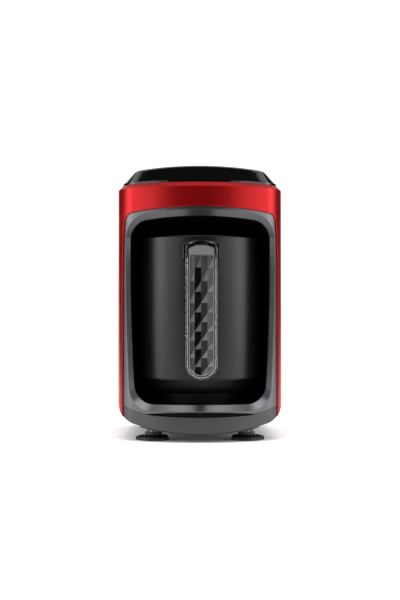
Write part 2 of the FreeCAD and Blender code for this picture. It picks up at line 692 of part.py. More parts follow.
def overflow_sensor():
    """Sensor barrel over the bay's roof."""
    roof = BAY_TOP + LINER_OUT
    barrel = cyl(SENSOR_R, SENSOR_H, (0, SENSOR_Y, roof + SENSOR_LENS_H))
    return joined([barrel, cyl(SENSOR_R + 2.5, 2, (0, SENSOR_Y, roof + LINER_WALL))])


def sensor_window():
    """Dark lens under the sensor, flush with the bay's roof."""
    return cyl(SENSOR_R, SENSOR_LENS_H, (0, SENSOR_Y, BAY_TOP + LINER_OUT))


# ---------------------------------------------------------------- electronics
def power_board_posts():
    x, low = POWER_BOARD_HALF - POWER_BOARD_EDGE, POWER_BOARD_LOW_Z + POWER_BOARD_EDGE
    top = POWER_BOARD_LOW_Z + POWER_BOARD_H - POWER_BOARD_EDGE
    return [(-x, low), (-x, top), (x, low), (x, top)]


def power_board():
    """Mains and relay board on posts behind the bay."""
    y = liner_back(LINER_WALL) + BOARD_STANDOFF
    board = block(-POWER_BOARD_HALF, POWER_BOARD_HALF, y, y + BOARD_WALL,
                  POWER_BOARD_LOW_Z, POWER_BOARD_LOW_Z + POWER_BOARD_H)
    for x, z in power_board_posts():
        board = board.cut(cyl(BOARD_SCREW_R, 10, (x, y - 4, z), (0, 1, 0)))
    return board


def board_face_y():
    return liner_back(LINER_WALL) + BOARD_STANDOFF + BOARD_WALL


def transformer():
    """Wound supply transformer: laminated core with a bobbin."""
    y, z = board_face_y(), POWER_BOARD_LOW_Z
    core = rounded_box(-46, -12, y, y + 26, z + 52, z + 84, 1.0, "y")
    bobbin = rounded_box(-41, -17, y + 3, y + 33, z + 48, z + 88, 4.0, "z")
    return joined([core, bobbin])


def relay():
    y, z = board_face_y(), POWER_BOARD_LOW_Z
    return rounded_box(8, 27, y, y + 15, z + 54, z + 82, 1.0, "y")


def capacitors():
    """Smoothing capacitors on the power board."""
    y, low = board_face_y(), POWER_BOARD_LOW_Z
    sizes = ((6, 22, -36, 30), (5, 18, -20, 30), (4, 14, -8, 32))
    return group([cyl(r, h, (x, y, low + z), (0, 1, 0)) for r, h, x, z in sizes])


def terminal_block():
    """Screw terminals for the cord and the heater leads."""
    y, z = board_face_y(), POWER_BOARD_LOW_Z + 22
    solid = block(10, 42, y, y + 13, z - 6, z + 6)
    for i in range(4):
        x = 14 + 8 * i
        solid = solid.cut(cyl(2.4, 6, (x, y + 8, z), (0, 1, 0)))
        solid = solid.cut(block(x - 2.2, x + 2.2, y + 2, y + 6.4, z - 8, z))
    return solid


def board_screws():
    """Screws of the power board."""
    y = board_face_y()
    screws = []
    for x, z in power_board_posts():
        head = cyl(2.8, 1.8, (x, y, z), (0, 1, 0)).cut(cross_recess(x, y + 1.8, z))
        screws.append(joined([head, cyl(BOARD_SCREW_R - 0.1, 6, (x, y - 6, z), (0, 1, 0))]))
    return group(screws)


# ---------------------------------------------------------------- lid and controls
def lid_form(inset, drop, under=0.0):
    """Solid under the lid's outer surface: sloped sides and a bowed crown."""
    rise = LID_CROWN_Z - LID_LOW_Z + 0.5 + under
    bottom = plan_wire(LID_INSET + inset, LID_LOW_Z - under)
    top = plan_wire(LID_INSET + inset + rise * LID_SLOPE, LID_LOW_Z - under + rise)
    slope = Part.makeLoft([bottom, top], True, True)
    bow = cyl(LID_BOW_R - drop, FAR, (0, -FAR / 2, LID_CROWN_Z - LID_BOW_R), (0, 1, 0))
    return slope.common(bow)


def top_lid():
    """Gloss lid: sloping rim, bowed top, pocket for the control strip."""
    solid = lid_form(0, 0)
    edges = [e for e in solid.Edges if edge_on_crown(e)]
    solid = solid.makeFillet(LID_EDGE_R, edges)
    solid = solid.cut(lid_form(LID_WALL * 1.3, LID_WALL, 0.5))
    solid = solid.cut(fascia_prism(PANEL_GAP / 2, FASCIA_LEDGE_Z - 3, FAR))
    tray = fascia_prism(LID_WALL * 0.75, FASCIA_LEDGE_Z - LEDGE_WALL, LID_CROWN_Z)
    tray = tray.cut(fascia_prism(PANEL_GAP / 2, FASCIA_LEDGE_Z, FAR))
    tray = tray.cut(fascia_prism(-LEDGE_WIDTH, FASCIA_LEDGE_Z - 3, FAR)).common(lid_form(0.5, 0.5))
    parts = [solid, tray]
    foot = CONTROL_BOARD_Z + BOARD_WALL
    inside = lid_form(LID_WALL, LID_WALL / 2, LID_LOW_Z - foot)
    pocket = fascia_prism(PANEL_GAP / 2, FASCIA_LEDGE_Z, FAR)
    for x, y in lid_post_places():
        parts.append(tube(3.0, 1.0, FAR, (x, y, foot)).common(inside).cut(pocket))
    return joined(parts)


def edge_on_crown(edge):
    """True for an edge between the lid's slope and its bowed top."""
    for k in (0.1, 0.5, 0.9):
        p = edge.valueAt(edge.FirstParameter + (edge.LastParameter - edge.FirstParameter) * k)
        if abs(math.hypot(p.x, p.z - LID_CROWN_Z + LID_BOW_R) - LID_BOW_R) > 1e-3:
            return False
    return True


def lid_post_places():
    return [(x, FASCIA_Y + dy) for x in (-38.5, 38.5) for dy in (-12.5, 26)]


def fascia_prism(grow, z0, z1):
    return rounded_box(-FASCIA_HALF_X - grow, FASCIA_HALF_X + grow, FASCIA_Y - FASCIA_HALF_Y - grow,
                       FASCIA_Y + FASCIA_HALF_Y + grow, z0, z1, FASCIA_CORNER_R + grow)


def control_fascia():
    """Satin strip with holes for the buttons and the light windows."""
    solid = fascia_prism(0, FASCIA_LEDGE_Z, FAR).common(lid_form(0, 0.35))
    for x in button_xs():
        solid = solid.cut(cyl(BUTTON_R + BUTTON_GAP, 60, (x, FASCIA_Y, FASCIA_LEDGE_Z - 5)))
        solid = solid.cut(cyl(LENS_R, 60, (x, FASCIA_Y + LENS_OFFSET, FASCIA_LEDGE_Z - 5)))
    return solid.Solids[0]


def button_xs():
    return [-BUTTON_PITCH, 0.0, BUTTON_PITCH]


def button_caps():
    """One domed cap per button, with a collar that keeps it under the strip."""
    caps = []
    for x in button_xs():
        top = bow_top_z(x) + BUTTON_PROUD
        collar = FASCIA_LEDGE_Z - 0.2
        caps.append(revolve([
            (0, collar - 2.2), (BUTTON_COLLAR_R, collar - 2.2), (BUTTON_COLLAR_R, collar), (BUTTON_R, collar),
            (BUTTON_R, top - 0.8), (BUTTON_R - 0.8, top), (BUTTON_R * 0.5, top - 0.5), (0, top - 0.7),
        ], (x, FASCIA_Y, 0)))
    return caps


def bow_top_z(x):
    return LID_CROWN_Z - LID_BOW_R + math.sqrt(LID_BOW_R ** 2 - x ** 2)


def button_plungers():
    """Stems between the caps and their switches."""
    low = CONTROL_BOARD_Z + BOARD_WALL + SWITCH_H
    high = FASCIA_LEDGE_Z - 2.4
    rest = low + BUTTON_TRAVEL + 0.1
    return [cyl(2.2, high - rest, (x, FASCIA_Y, rest)) for x in button_xs()]


def indicator_lenses():
    """Small light windows beside the buttons."""
    lenses = []
    for x in button_xs():
        top = bow_top_z(x) + 0.1
        low = CONTROL_BOARD_Z + BOARD_WALL + 1.2
        lenses.append(cyl(LENS_R - 0.1, top - low, (x, FASCIA_Y + LENS_OFFSET, low)))
    return group(lenses)


def control_board():
    """Board under the strip, screwed to the lid's posts."""
    return rounded_box(-44, 44, FASCIA_Y - 18, FASCIA_Y + 34, CONTROL_BOARD_Z, CONTROL_BOARD_Z + BOARD_WALL,
                       2.0)


def tact_switches():
    """One small switch under each button."""
    low = CONTROL_BOARD_Z + BOARD_WALL
    return group([joined([block(x - 3, x + 3, FASCIA_Y - 3, FASCIA_Y + 3, low, low + SWITCH_H - 1.2),
                          cyl(1.6, SWITCH_H, (x, FASCIA_Y, low))]) for x in button_xs()])


def buzzer():
    return cyl(6.0, 6.5, (22, FASCIA_Y + 24, CONTROL_BOARD_Z + BOARD_WALL)).cut(
        cyl(1.2, 2, (22, FASCIA_Y + 24, CONTROL_BOARD_Z + BOARD_WALL + 5)))


def lid_trim_ring():
    """Slim trim between the wrap's shoulder and the lid, standing on the shoulder."""
    outer = plan_prism(LID_INSET - 0.6, SHELL_TOP, LID_LOW_Z - PANEL_GAP)
    outer = outer.cut(plan_prism(SHOULDER_OPEN + 2.0, SHELL_TOP - 1, FAR))
    lip = plan_prism(SHOULDER_OPEN + 0.2, SHELL_TOP - SHELL_WALL, LID_LOW_Z + 1.2)
    lip = lip.cut(plan_prism(SHOULDER_OPEN + 2.0, SHELL_TOP - 3, FAR))
    return joined([outer, lip]).Solids[0]


# ---------------------------------------------------------------- the pot
def outer_sleeve():
    """Satin outer wall of the pot."""
    return tube(POT_R, POT_R - SLEEVE_WALL, POT_TOP_Z - COLLAR_H - SLEEVE_LOW_Z, (0, POT_Y, SLEEVE_LOW_Z))


def inner_vessel():
    """Steel vessel inside the sleeve, with a rounded floor."""
    r = POT_R - SLEEVE_WALL - 0.4
    outer = cyl(r, POT_TOP_Z - COLLAR_H - VESSEL_FLOOR_Z, (0, POT_Y, VESSEL_FLOOR_Z))
    inner = cyl(r - VESSEL_WALL, POT_TOP_Z, (0, POT_Y, VESSEL_FLOOR_Z + VESSEL_WALL))
    outer = outer.makeFillet(6, [e for e in outer.Edges if e.Closed and e.Vertexes[0].Z < VESSEL_FLOOR_Z + 1])
    inner = inner.makeFillet(5, [e for e in inner.Edges if e.Closed and e.Vertexes[0].Z < VESSEL_FLOOR_Z + 2])
    return outer.cut(inner)


def rim_collar():
    """Moulded rim with a pouring spout on either side."""
    z = POT_TOP_Z - COLLAR_H
    ring = revolve([(POT_R - 4, z), (POT_R, z), (POT_R, POT_TOP_Z - 1), (POT_R - 1, POT_TOP_Z),
                    (POT_R - 2.4, POT_TOP_Z), (POT_R - 4, z + 1.5)], (0, POT_Y, 0))
    parts = [ring]
    for s in (-1, 1):
        x = s * (POT_R - SPOUT_TOP_R + SPOUT_REACH)
        cone = Part.makeCone(0.6, SPOUT_TOP_R, SPOUT_H, V(x, POT_Y, POT_TOP_Z - SPOUT_H))
        cone = cone.cut(cyl(POT_R, z, (0, POT_Y, 0)))
        parts.append(cone.cut(cyl(POT_R - 0.2, FAR, (0, POT_Y, z))))
    solid = ring.fuse(parts[1:])
    for s in (-1, 1):
        x = s * (POT_R - SPOUT_TOP_R + SPOUT_REACH)
        cone = Part.makeCone(0.1, SPOUT_TOP_R - 1.4, SPOUT_H - 2.5, V(x, POT_Y, POT_TOP_Z - SPOUT_H + 2.5))
        cone = joined([cone, cyl(SPOUT_TOP_R - 1.4, 3, (x, POT_Y, POT_TOP_Z))])
        solid = solid.cut(cone.common(block(-90, 90, POT_Y - 40, POT_Y + 40, z + 1.5, POT_TOP_Z + 5)))
    return solid.removeSplitter().Solids[0]


def base_skirt():
    """Tapered skirt under the sleeve."""
    z0, z1 = POT_BASE_Z, SLEEVE_LOW_Z
    step, bore = POT_R - SLEEVE_WALL - 0.2, POT_R - SLEEVE_WALL - 2
    solid = revolve([
        (SKIRT_LOW_R - 4, z0), (SKIRT_LOW_R - 1.2, z0 + 0.8), (SKIRT_LOW_R + 0.8, z0 + 3),
        (SKIRT_TOP_R, z1 - 0.6), (POT_R - 3, z1 - 0.6), (POT_R - 3, z1), (step, z1), (step, z1 + 3),
        (bore, z1 + 3), (bore, z1 + SKIRT_WALL), (SKIRT_TOP_R - SKIRT_WALL, z1 - 0.6 + SKIRT_WALL),
        (SKIRT_LOW_R - 1.4, z0 + 3.4), (SKIRT_LOW_R - 4, z0 + 2),
    ], (0, POT_Y, 0))
    return solid.cut(connector_block(0.1))


def connector_block(grow):
    """Body of the pot's connector, at the rear of the skirt."""
    return block(-CONNECTOR_HALF - grow, CONNECTOR_HALF + grow, POT_Y + SKIRT_LOW_R - 12, POT_Y + POT_R + 0.5,
                 DOCK_LOW_Z + 0.6 - grow, SLEEVE_LOW_Z - 0.3 + grow)


def bottom_cover():
    """Disc that closes the underside of the pot."""
    disc = cyl(SKIRT_LOW_R - 4.2, 2.0, (0, POT_Y, POT_BASE_Z))
    disc = disc.cut(connector_block(0.2))
    for x, y in skirt_screw_places():
        disc = disc.cut(cyl(SKIRT_SCREW_HEAD_R, 1, (x, y, POT_BASE_Z - 0.7)))
    return disc.cut(skirt_screws())


def skirt_screw_places():
    r = SKIRT_LOW_R - 12
    return [(r * math.cos(math.radians(a)), POT_Y + r * math.sin(math.radians(a))) for a in (-90, 30, 150)]


def skirt_screws():
    """Three countersunk screws in the bottom cover."""
    screws = []
    outline = [(0, 0.3), (SKIRT_SCREW_HEAD_R, 0.3), (SCREW_R, 1.7), (SCREW_R, 10), (0, 10)]
    for x, y in skirt_screw_places():
        screws.append(revolve(outline, (x, y, POT_BASE_Z)))
    return group(screws)


def heater_plate():
    """Aluminium plate clamped under the vessel, on three bosses over the bottom cover."""
    plate = cyl(HEATER_R, HEATER_H, (0, POT_Y, VESSEL_FLOOR_Z - HEATER_H))
    bosses = [tube(4.0, SCREW_R, VESSEL_FLOOR_Z - HEATER_H - POT_BASE_Z - 2.0, (x, y, POT_BASE_Z + 2.0))
              for x, y in skirt_screw_places()]
    return joined([plate] + bosses)


def heating_element():
    """Tubular element bent in an open ring, pressed against the plate."""
    r = ELEMENT_R
    ring = Part.makeTorus(r, 2.6, V(0, POT_Y, VESSEL_FLOOR_Z - HEATER_H - 2.6), V(0, 0, 1), -180, 180, 300)
    ring.rotate(V(0, POT_Y, 0), V(0, 0, 1), 120)
    ends = []
    for a in (60, 120):
        x = r * math.cos(math.radians(a))
        y = POT_Y + r * math.sin(math.radians(a))
        ends.append(cyl(2.2, 8, (x, y, VESSEL_FLOOR_Z - HEATER_H - 10.6)))
    return group([joined([ring] + ends)])


def thermostat():
    """Snap-disc cut-out against the middle of the plate."""
    z = VESSEL_FLOOR_Z - HEATER_H
    can = cyl(8, 6, (0, POT_Y, z - 6))
    tags = [block(x - 0.4, x + 0.4, POT_Y - 3, POT_Y + 3, z - 11, z - 6) for x in (-5, 5)]
    return joined([can] + tags)


def pot_connector():
    """Plug body at the rear of the skirt."""
    solid = connector_block(0)
    solid = solid.cut(cyl(POT_R - SLEEVE_WALL - 0.1, 4, (0, POT_Y, SLEEVE_LOW_Z - 0.6)))
    for x, z in pin_places():
        solid = solid.cut(cyl(SOCKET_R, 40, (x, POT_Y + POT_R - PIN_PROUD, z), (0, 1, 0)))
    return solid


def contact_sockets():
    """Sprung sleeves inside the connector."""
    y = POT_Y + POT_R - PIN_PROUD
    return group([tube(SOCKET_R, PIN_R + 0.25, PIN_PROUD - 0.5, (x, y, z), (0, 1, 0)) for x, z in pin_places()])


# ---------------------------------------------------------------- the handle
def grip_prism(half, low, top, y0, y1, arch):
    """Upright bar: round below, arched (or flat) above."""
    z, side = low + half, top - arch
    left, right = (-half, y0, side), (half, y0, side)
    edges = [
        arc((half, y0, z), (0, y0, low), (-half, y0, z)),
        line((-half, y0, z), left),
        arc(left, (0, y0, top), right) if arch else line(left, right),
        line(right, (half, y0, z)),
    ]
    return front_prism(edges, y0, y1)


def handle_spine():
    """Black core of the grip with the two arms that reach the pot."""
    half = HANDLE_HALF - COVER_WALL - 0.2
    y0 = GRIP_Y + HANDLE_BAR_DEPTH * 0.5
    y1 = GRIP_Y + HANDLE_BAR_DEPTH
    bar = grip_prism(half, HANDLE_LOW_Z + COVER_WALL, HANDLE_TOP_Z - COVER_WALL - 0.2, y0, y1, 4.4)
    arms = []
    upper = (HANDLE_TOP_Z - 20, HANDLE_TOP_Z - 3, half)
    lower = (HANDLE_LOW_Z + 4, HANDLE_LOW_Z + 17, half * 0.8)
    for z0, z1, w in (upper, lower):
        arm = rounded_box(-w, w, y1, POT_Y - 20, z0, z1, 3.0, "y")
        arms.append(arm.cut(cyl(POT_R, 300, (0, POT_Y, 0))))
    solid = joined([bar] + [a.Solids[0] for a in arms])
    for z in handle_screw_zs():
        solid = solid.cut(cyl(SCREW_R - 0.2, HANDLE_REACH, (0, GRIP_Y + 3, z), (0, 1, 0)))
    return solid


def handle_screw_zs():
    return (HANDLE_TOP_Z - 12, HANDLE_LOW_Z + 10.5)


def handle_screws():
    """Screws from the grip into the sleeve's bracket."""
    screws = []
    for z in handle_screw_zs():
        y = GRIP_Y + HANDLE_BAR_DEPTH * 0.5
        screws.append(cyl(SCREW_R - 0.2, HANDLE_REACH - HANDLE_BAR_DEPTH * 0.5 - 0.1, (0, y, z), (0, 1, 0)))
    return group(screws)


def handle_clear_cover():
    """Clear moulded cover round the front and sides of the grip."""
    outer = grip_prism(HANDLE_HALF, HANDLE_LOW_Z, HANDLE_TOP_Z, GRIP_Y, GRIP_Y + HANDLE_BAR_DEPTH, 5.0)
    front = [e for e in outer.Edges if all(abs(v.Y - GRIP_Y) < 1e-6 for v in e.Vertexes)]
    outer = outer.makeFillet(2.2, front)
    low, top = HANDLE_LOW_Z + COVER_WALL - 0.2, HANDLE_TOP_Z - COVER_WALL + 0.3
    inner = grip_prism(HANDLE_HALF - COVER_WALL, low, top, GRIP_Y + COVER_WALL, GRIP_Y + FAR / 2, 4.0)
    return outer.cut(inner)


def facet_insert():
    """Relief of triangular facets behind the clear cover: four columns of cells split corner to corner."""
    face_y = GRIP_Y + COVER_WALL + 0.4
    back = GRIP_Y + HANDLE_BAR_DEPTH * 0.5 - 0.1
    xs = [INSERT_HALF * k for k in FACET_COLUMNS]
    first = CAP_LOW_Z - FACET_FIRST
    rows = 1 + math.ceil((first - HANDLE_LOW_Z) / FACET_PITCH)
    zs = [CAP_LOW_Z] + [first - FACET_PITCH * r for r in range(rows)]
    last = len(xs) - 1
    def node(i, r):
        deep = FACET_DEPTH if (i + 2 * (max(r, 1) % 2)) % 4 in (0, 3) else 0.0
        return V(xs[i], face_y + deep, zs[r])
    def flat(p):
        return V(p.x, back, p.z)
    faces = []
    for r in range(rows):
        for i in range(last):
            a, b, c, d = node(i, r), node(i + 1, r), node(i + 1, r + 1), node(i, r + 1)
            faces += [[a, b, d], [b, c, d]]
    border = [node(i, 0) for i in range(last)] + [node(last, r) for r in range(rows)]
    border += [node(i, rows) for i in range(last, 0, -1)] + [node(0, r) for r in range(rows, 0, -1)]
    for p, q in zip(border, border[1:] + border[:1]):
        faces.append([p, flat(p), flat(q), q])
    faces.append([flat(p) for p in border])
    shell = Part.Shell([Part.Face(Part.makePolygon(f + [f[0]])) for f in faces])
    solid = Part.Solid(shell)
    if solid.Volume < 0:
        solid.reverse()
    low = HANDLE_LOW_Z + HANDLE_HALF - INSERT_HALF
    return solid.common(grip_prism(INSERT_HALF, low, CAP_LOW_Z, GRIP_Y, back, 0)).Solids[0]


def handle_top_cap():
    """Arched light cap over the insert."""
    top = HANDLE_TOP_Z - COVER_WALL - 0.9
    cap = grip_prism(INSERT_HALF, CAP_LOW_Z - INSERT_HALF, top, GRIP_Y + COVER_WALL + 0.1,
                     GRIP_Y + HANDLE_BAR_DEPTH * 0.5 - 0.1, 3.0)
    return cap.cut(block(-50, 50, GRIP_Y - 1, GRIP_Y + 50, 0, CAP_LOW_Z + 0.2))


def handle_bracket():
    """Black hood on the pot's wall that wraps the grip's upper end."""
    top, front = HANDLE_TOP_Z, GRIP_Y + HOOD_SETBACK
    outer = grip_prism(HANDLE_HALF + HOOD_WALL, HANDLE_LOW_Z, top + HOOD_WALL, front, POT_Y, 4.6)
    lip = [e for e in outer.Edges if all(abs(v.Y - front) < 1e-6 for v in e.Vertexes)]
    outer = outer.makeFillet(HOOD_WALL / 2, lip)
    inner = grip_prism(HANDLE_HALF + 0.1, HANDLE_LOW_Z - 1, top + 0.1, front - 1, POT_Y + 1, 5.0)
    hood = outer.cut(inner).cut(block(-FAR, FAR, -FAR, FAR, -FAR, top - HOOD_DROP))
    return hood.cut(cyl(POT_R, FAR, (0, POT_Y, 0))).Solids[0]


# ---------------------------------------------------------------- export
PARTS = {
    "side_and_top_shell": side_and_top_shell,
    "front_frame": front_frame,
    "seam_inlay": seam_inlay,
    "base_shell": base_shell,
    "bottom_plate": bottom_plate,
    "rear_cover": rear_cover,
    "rear_screws": rear_screws,
    "cord_gland": cord_gland,
    "foot_stems": foot_stems,
    "suction_cups": suction_cups,
    "foot_screws": foot_screws,
    "cavity_liner": cavity_liner,
    "cavity_floor": cavity_floor,
    "dock_socket": dock_socket,
    "dock_contact_pins": dock_contact_pins,
    "overflow_sensor": overflow_sensor,
    "sensor_window": sensor_window,
    "power_board": power_board,
    "transformer": transformer,
    "relay": relay,
    "capacitors": capacitors,
    "terminal_block": terminal_block,
    "board_screws": board_screws,
    "top_lid": top_lid,
    "lid_trim_ring": lid_trim_ring,
    "control_fascia": control_fascia,
    "indicator_lenses": indicator_lenses,
    "control_board": control_board,
    "tact_switches": tact_switches,
    "buzzer": buzzer,
    "outer_sleeve": outer_sleeve,
    "inner_vessel": inner_vessel,
    "rim_collar": rim_collar,
    "base_skirt": base_skirt,
    "bottom_cover": bottom_cover,
    "skirt_screws": skirt_screws,
    "heater_plate": heater_plate,
    "heating_element": heating_element,
    "thermostat": thermostat,
    "pot_connector": pot_connector,
    "contact_sockets": contact_sockets,
    "handle_spine": handle_spine,
    "handle_clear_cover": handle_clear_cover,
    "handle_facet_insert": facet_insert,
    "handle_top_cap": handle_top_cap,
    "handle_bracket": handle_bracket,
    "handle_screws": handle_screws,
}


def build():
    shapes = {name: make() for name, make in PARTS.items()}
    for index, (cap, plunger) in enumerate(zip(button_caps(), button_plungers()), 1):
        shapes[f"button_cap_{index}"] = cap
        shapes[f"button_plunger_{index}"] = plunger
    return shapes


if __name__ == "__main__":
    os.makedirs("parts", exist_ok=True)
    for name, shape in build().items():
        shape.exportStep(f"parts/{name}.step")
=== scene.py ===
"""Dresses a table-top hot-drink maker: a docked pot in an arched, open-fronted housing.

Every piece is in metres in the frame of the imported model. The front faces -Y and +Z is up.
"""

from __future__ import annotations

import json
import logging
import math
from dataclasses import dataclass, field
from enum import Enum

import bmesh
import bpy
import numpy as np
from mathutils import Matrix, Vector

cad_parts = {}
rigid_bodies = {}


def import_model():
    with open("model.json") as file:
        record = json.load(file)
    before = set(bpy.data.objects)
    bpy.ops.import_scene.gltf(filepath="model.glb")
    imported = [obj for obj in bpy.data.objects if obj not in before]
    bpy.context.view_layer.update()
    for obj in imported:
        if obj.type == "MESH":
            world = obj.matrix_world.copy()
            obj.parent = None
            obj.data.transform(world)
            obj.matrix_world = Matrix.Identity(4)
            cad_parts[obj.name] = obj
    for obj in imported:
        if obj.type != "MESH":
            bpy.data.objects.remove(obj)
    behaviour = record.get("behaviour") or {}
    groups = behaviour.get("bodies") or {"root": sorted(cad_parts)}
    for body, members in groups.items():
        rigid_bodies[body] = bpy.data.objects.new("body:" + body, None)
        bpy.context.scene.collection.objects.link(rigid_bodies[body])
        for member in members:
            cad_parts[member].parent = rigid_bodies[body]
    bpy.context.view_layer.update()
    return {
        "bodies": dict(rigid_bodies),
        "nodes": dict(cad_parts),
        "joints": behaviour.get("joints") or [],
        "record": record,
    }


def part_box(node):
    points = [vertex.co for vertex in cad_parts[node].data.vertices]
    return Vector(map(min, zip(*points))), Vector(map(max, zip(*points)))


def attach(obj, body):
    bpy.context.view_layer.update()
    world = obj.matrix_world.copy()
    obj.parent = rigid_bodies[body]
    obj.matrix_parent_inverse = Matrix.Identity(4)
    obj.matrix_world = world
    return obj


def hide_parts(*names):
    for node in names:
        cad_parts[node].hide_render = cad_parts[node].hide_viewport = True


LOG = logging.getLogger("drink_maker")
MM = 0.001
Grid = np.ndarray


# ---------------------------------------------------------------- colour and node helpers
def srgb(code: str, alpha: float = 1.0) -> tuple[float, float, float, float]:
    """Turns an sRGB hex colour to linear.

    Args:
        code: six hex digits.
        alpha: fourth channel.

    Returns:
        Linear red, green, blue and alpha.
    """
    raw = np.array([int(code[i:i + 2], 16) for i in (0, 2, 4)]) / 255
    linear = np.where(raw <= 0.04045, raw / 12.92, ((raw + 0.055) / 1.055) ** 2.4)
    return (*linear.tolist(), alpha)


def add_node(tree: bpy.types.NodeTree, kind: str, links: dict | None = None,
             **settings: object) -> bpy.types.Node:
    """Adds one shader node.

    Args:
        tree: node tree that gets it.
        kind: node type, such as "ShaderNodeBump".
        links: input name or index to the output socket that feeds it.
        settings: property names, or input names with spaces as underscores, to their values.

    Returns:
        The new node.
    """
    node = tree.nodes.new(kind)
    for key, value in settings.items():
        if hasattr(node, key):
            setattr(node, key, value)
        else:
            node.inputs[key.replace("_", " ")].default_value = value
    for key, source in (links or {}).items():
        tree.links.new(source, node.inputs[key])
    return node


def blank_material(name: str) -> tuple[bpy.types.Material, bpy.types.NodeTree]:
    """Makes a material with no nodes, and gives it and its node tree."""
    material = bpy.data.materials.new(name)
    material.use_nodes = True
    material.node_tree.nodes.clear()
    return material, material.node_tree


# ---------------------------------------------------------------- finishes
class Gloss(Enum):
    """How smooth a surface came out of its tool or spray booth."""

    POLISHED = 0.08
    BRIGHT = 0.2
    SATIN = 0.36
    SOFT = 0.5
    MATT = 0.68


@dataclass(frozen=True)
class Finish:
    """Opaque surface with fine grain in its colour, roughness and relief.

    Attributes:
        name: what the real surface is.
        colour: sRGB hex of the surface.
        gloss: how smooth it is.
        metallic: share of metal in the look.
        coat: thickness weight of a clear lacquer.
        grain_mm: size of the grain, drawn no finer than it can show.
        mottle: how far the colour wanders with the grain.
        relief_mm: height of the grain.
        specular: strength of the plain gloss.
        tint: name of a colour attribute that tints the surface, where the piece has one; the relief's carries
            painted light and shade.
    """

    name: str
    colour: str
    gloss: Gloss = Gloss.SATIN
    metallic: float = 0.0
    coat: float = 0.0
    grain_mm: float = 0.8
    mottle: float = 0.06
    relief_mm: float = 0.01
    specular: float = 0.5
    tint: str = ""

    def build(self) -> bpy.types.Material:
        """Makes the material.

        Returns:
            A material whose pattern sits on Object coordinates.
        """
        material, tree = blank_material(self.name)
        place = add_node(tree, "ShaderNodeTexCoord").outputs["Object"]
        grain = add_node(tree, "ShaderNodeTexNoise", {"Vector": place},
                         Scale=1 / (self.grain_mm * MM), Detail=3.0)
        cloud = add_node(tree, "ShaderNodeTexNoise", {"Vector": place}, Scale=18.0, Detail=2.0)
        blend = add_node(tree, "ShaderNodeMath", {0: grain.outputs["Fac"], 1: cloud.outputs["Fac"]},
                         operation="MULTIPLY")
        ramp = add_node(tree, "ShaderNodeMapRange", {"Value": blend.outputs[0]},
                        From_Min=0.12, From_Max=0.38)
        base = np.array(srgb(self.colour)[:3])
        tone = add_node(tree, "ShaderNodeMix", {"Factor": ramp.outputs["Result"]}, data_type="RGBA")
        tone.inputs[6].default_value = (*(base * (1 - self.mottle)).tolist(), 1.0)
        tone.inputs[7].default_value = (*np.clip(base * (1 + self.mottle), 0, 1).tolist(), 1.0)
        colour = tone.outputs[2]
        # A colour attribute multiplies the colour; the relief's holds its painted light and shade.
        if self.tint:
            painted = add_node(tree, "ShaderNodeAttribute", attribute_name=self.tint).outputs["Color"]
            tinted = add_node(tree, "ShaderNodeMix", {6: colour, 7: painted}, data_type="RGBA",
                              blend_type="MULTIPLY")
            tinted.inputs[0].default_value = 1.0
            colour = tinted.outputs[2]
        rough = add_node(tree, "ShaderNodeMapRange", {"Value": cloud.outputs["Fac"]},
                         From_Min=0.3, From_Max=0.7,
                         To_Min=self.gloss.value * 0.92, To_Max=self.gloss.value * 1.08)
        bump = add_node(tree, "ShaderNodeBump", {"Height": grain.outputs["Fac"]},
                        Strength=0.5, Distance=self.relief_mm * MM)
        shader = add_node(tree, "ShaderNodeBsdfPrincipled", {
            "Base Color": colour,
            "Roughness": rough.outputs["Result"],
            "Normal": bump.outputs["Normal"],
        }, Metallic=self.metallic, Coat_Weight=self.coat, Coat_Roughness=0.04, Specular_IOR_Level=self.specular)
        add_node(tree, "ShaderNodeOutputMaterial", {"Surface": shader.outputs["BSDF"]})
        return material


@dataclass(frozen=True)
class ClearFinish:
    """Transparent moulded plastic.

    Attributes:
        name: what the real surface is.
        colour: sRGB hex of the tint.
        ior: index of refraction.
        roughness: haze of the surface.
    """

    name: str
    colour: str
    ior: float = 1.49
    roughness: float = 0.03

    def build(self) -> bpy.types.Material:
        """Makes the material, with faint flow marks in its relief.

        Returns:
            A material that refracts what lies behind it and lets the lamps shine through.
        """
        material, tree = blank_material(self.name)
        place = add_node(tree, "ShaderNodeTexCoord").outputs["Object"]
        flow = add_node(tree, "ShaderNodeTexNoise", {"Vector": place}, Scale=60.0, Detail=1.0)
        bump = add_node(tree, "ShaderNodeBump", {"Height": flow.outputs["Fac"]},
                        Strength=0.04, Distance=0.02 * MM)
        shader = add_node(tree, "ShaderNodeBsdfPrincipled", {"Normal": bump.outputs["Normal"]},
                          Base_Color=srgb(self.colour), Roughness=self.roughness, IOR=self.ior,
                          Transmission_Weight=1.0)
        window = add_node(tree, "ShaderNodeBsdfTransparent", Color=srgb(self.colour))
        ray = add_node(tree, "ShaderNodeLightPath")
        mixed = add_node(tree, "ShaderNodeMixShader", {
            0: ray.outputs["Is Shadow Ray"],
            1: shader.outputs["BSDF"],
            2: window.outputs["BSDF"],
        })
        add_node(tree, "ShaderNodeOutputMaterial", {"Surface": mixed.outputs[0]})
        return material


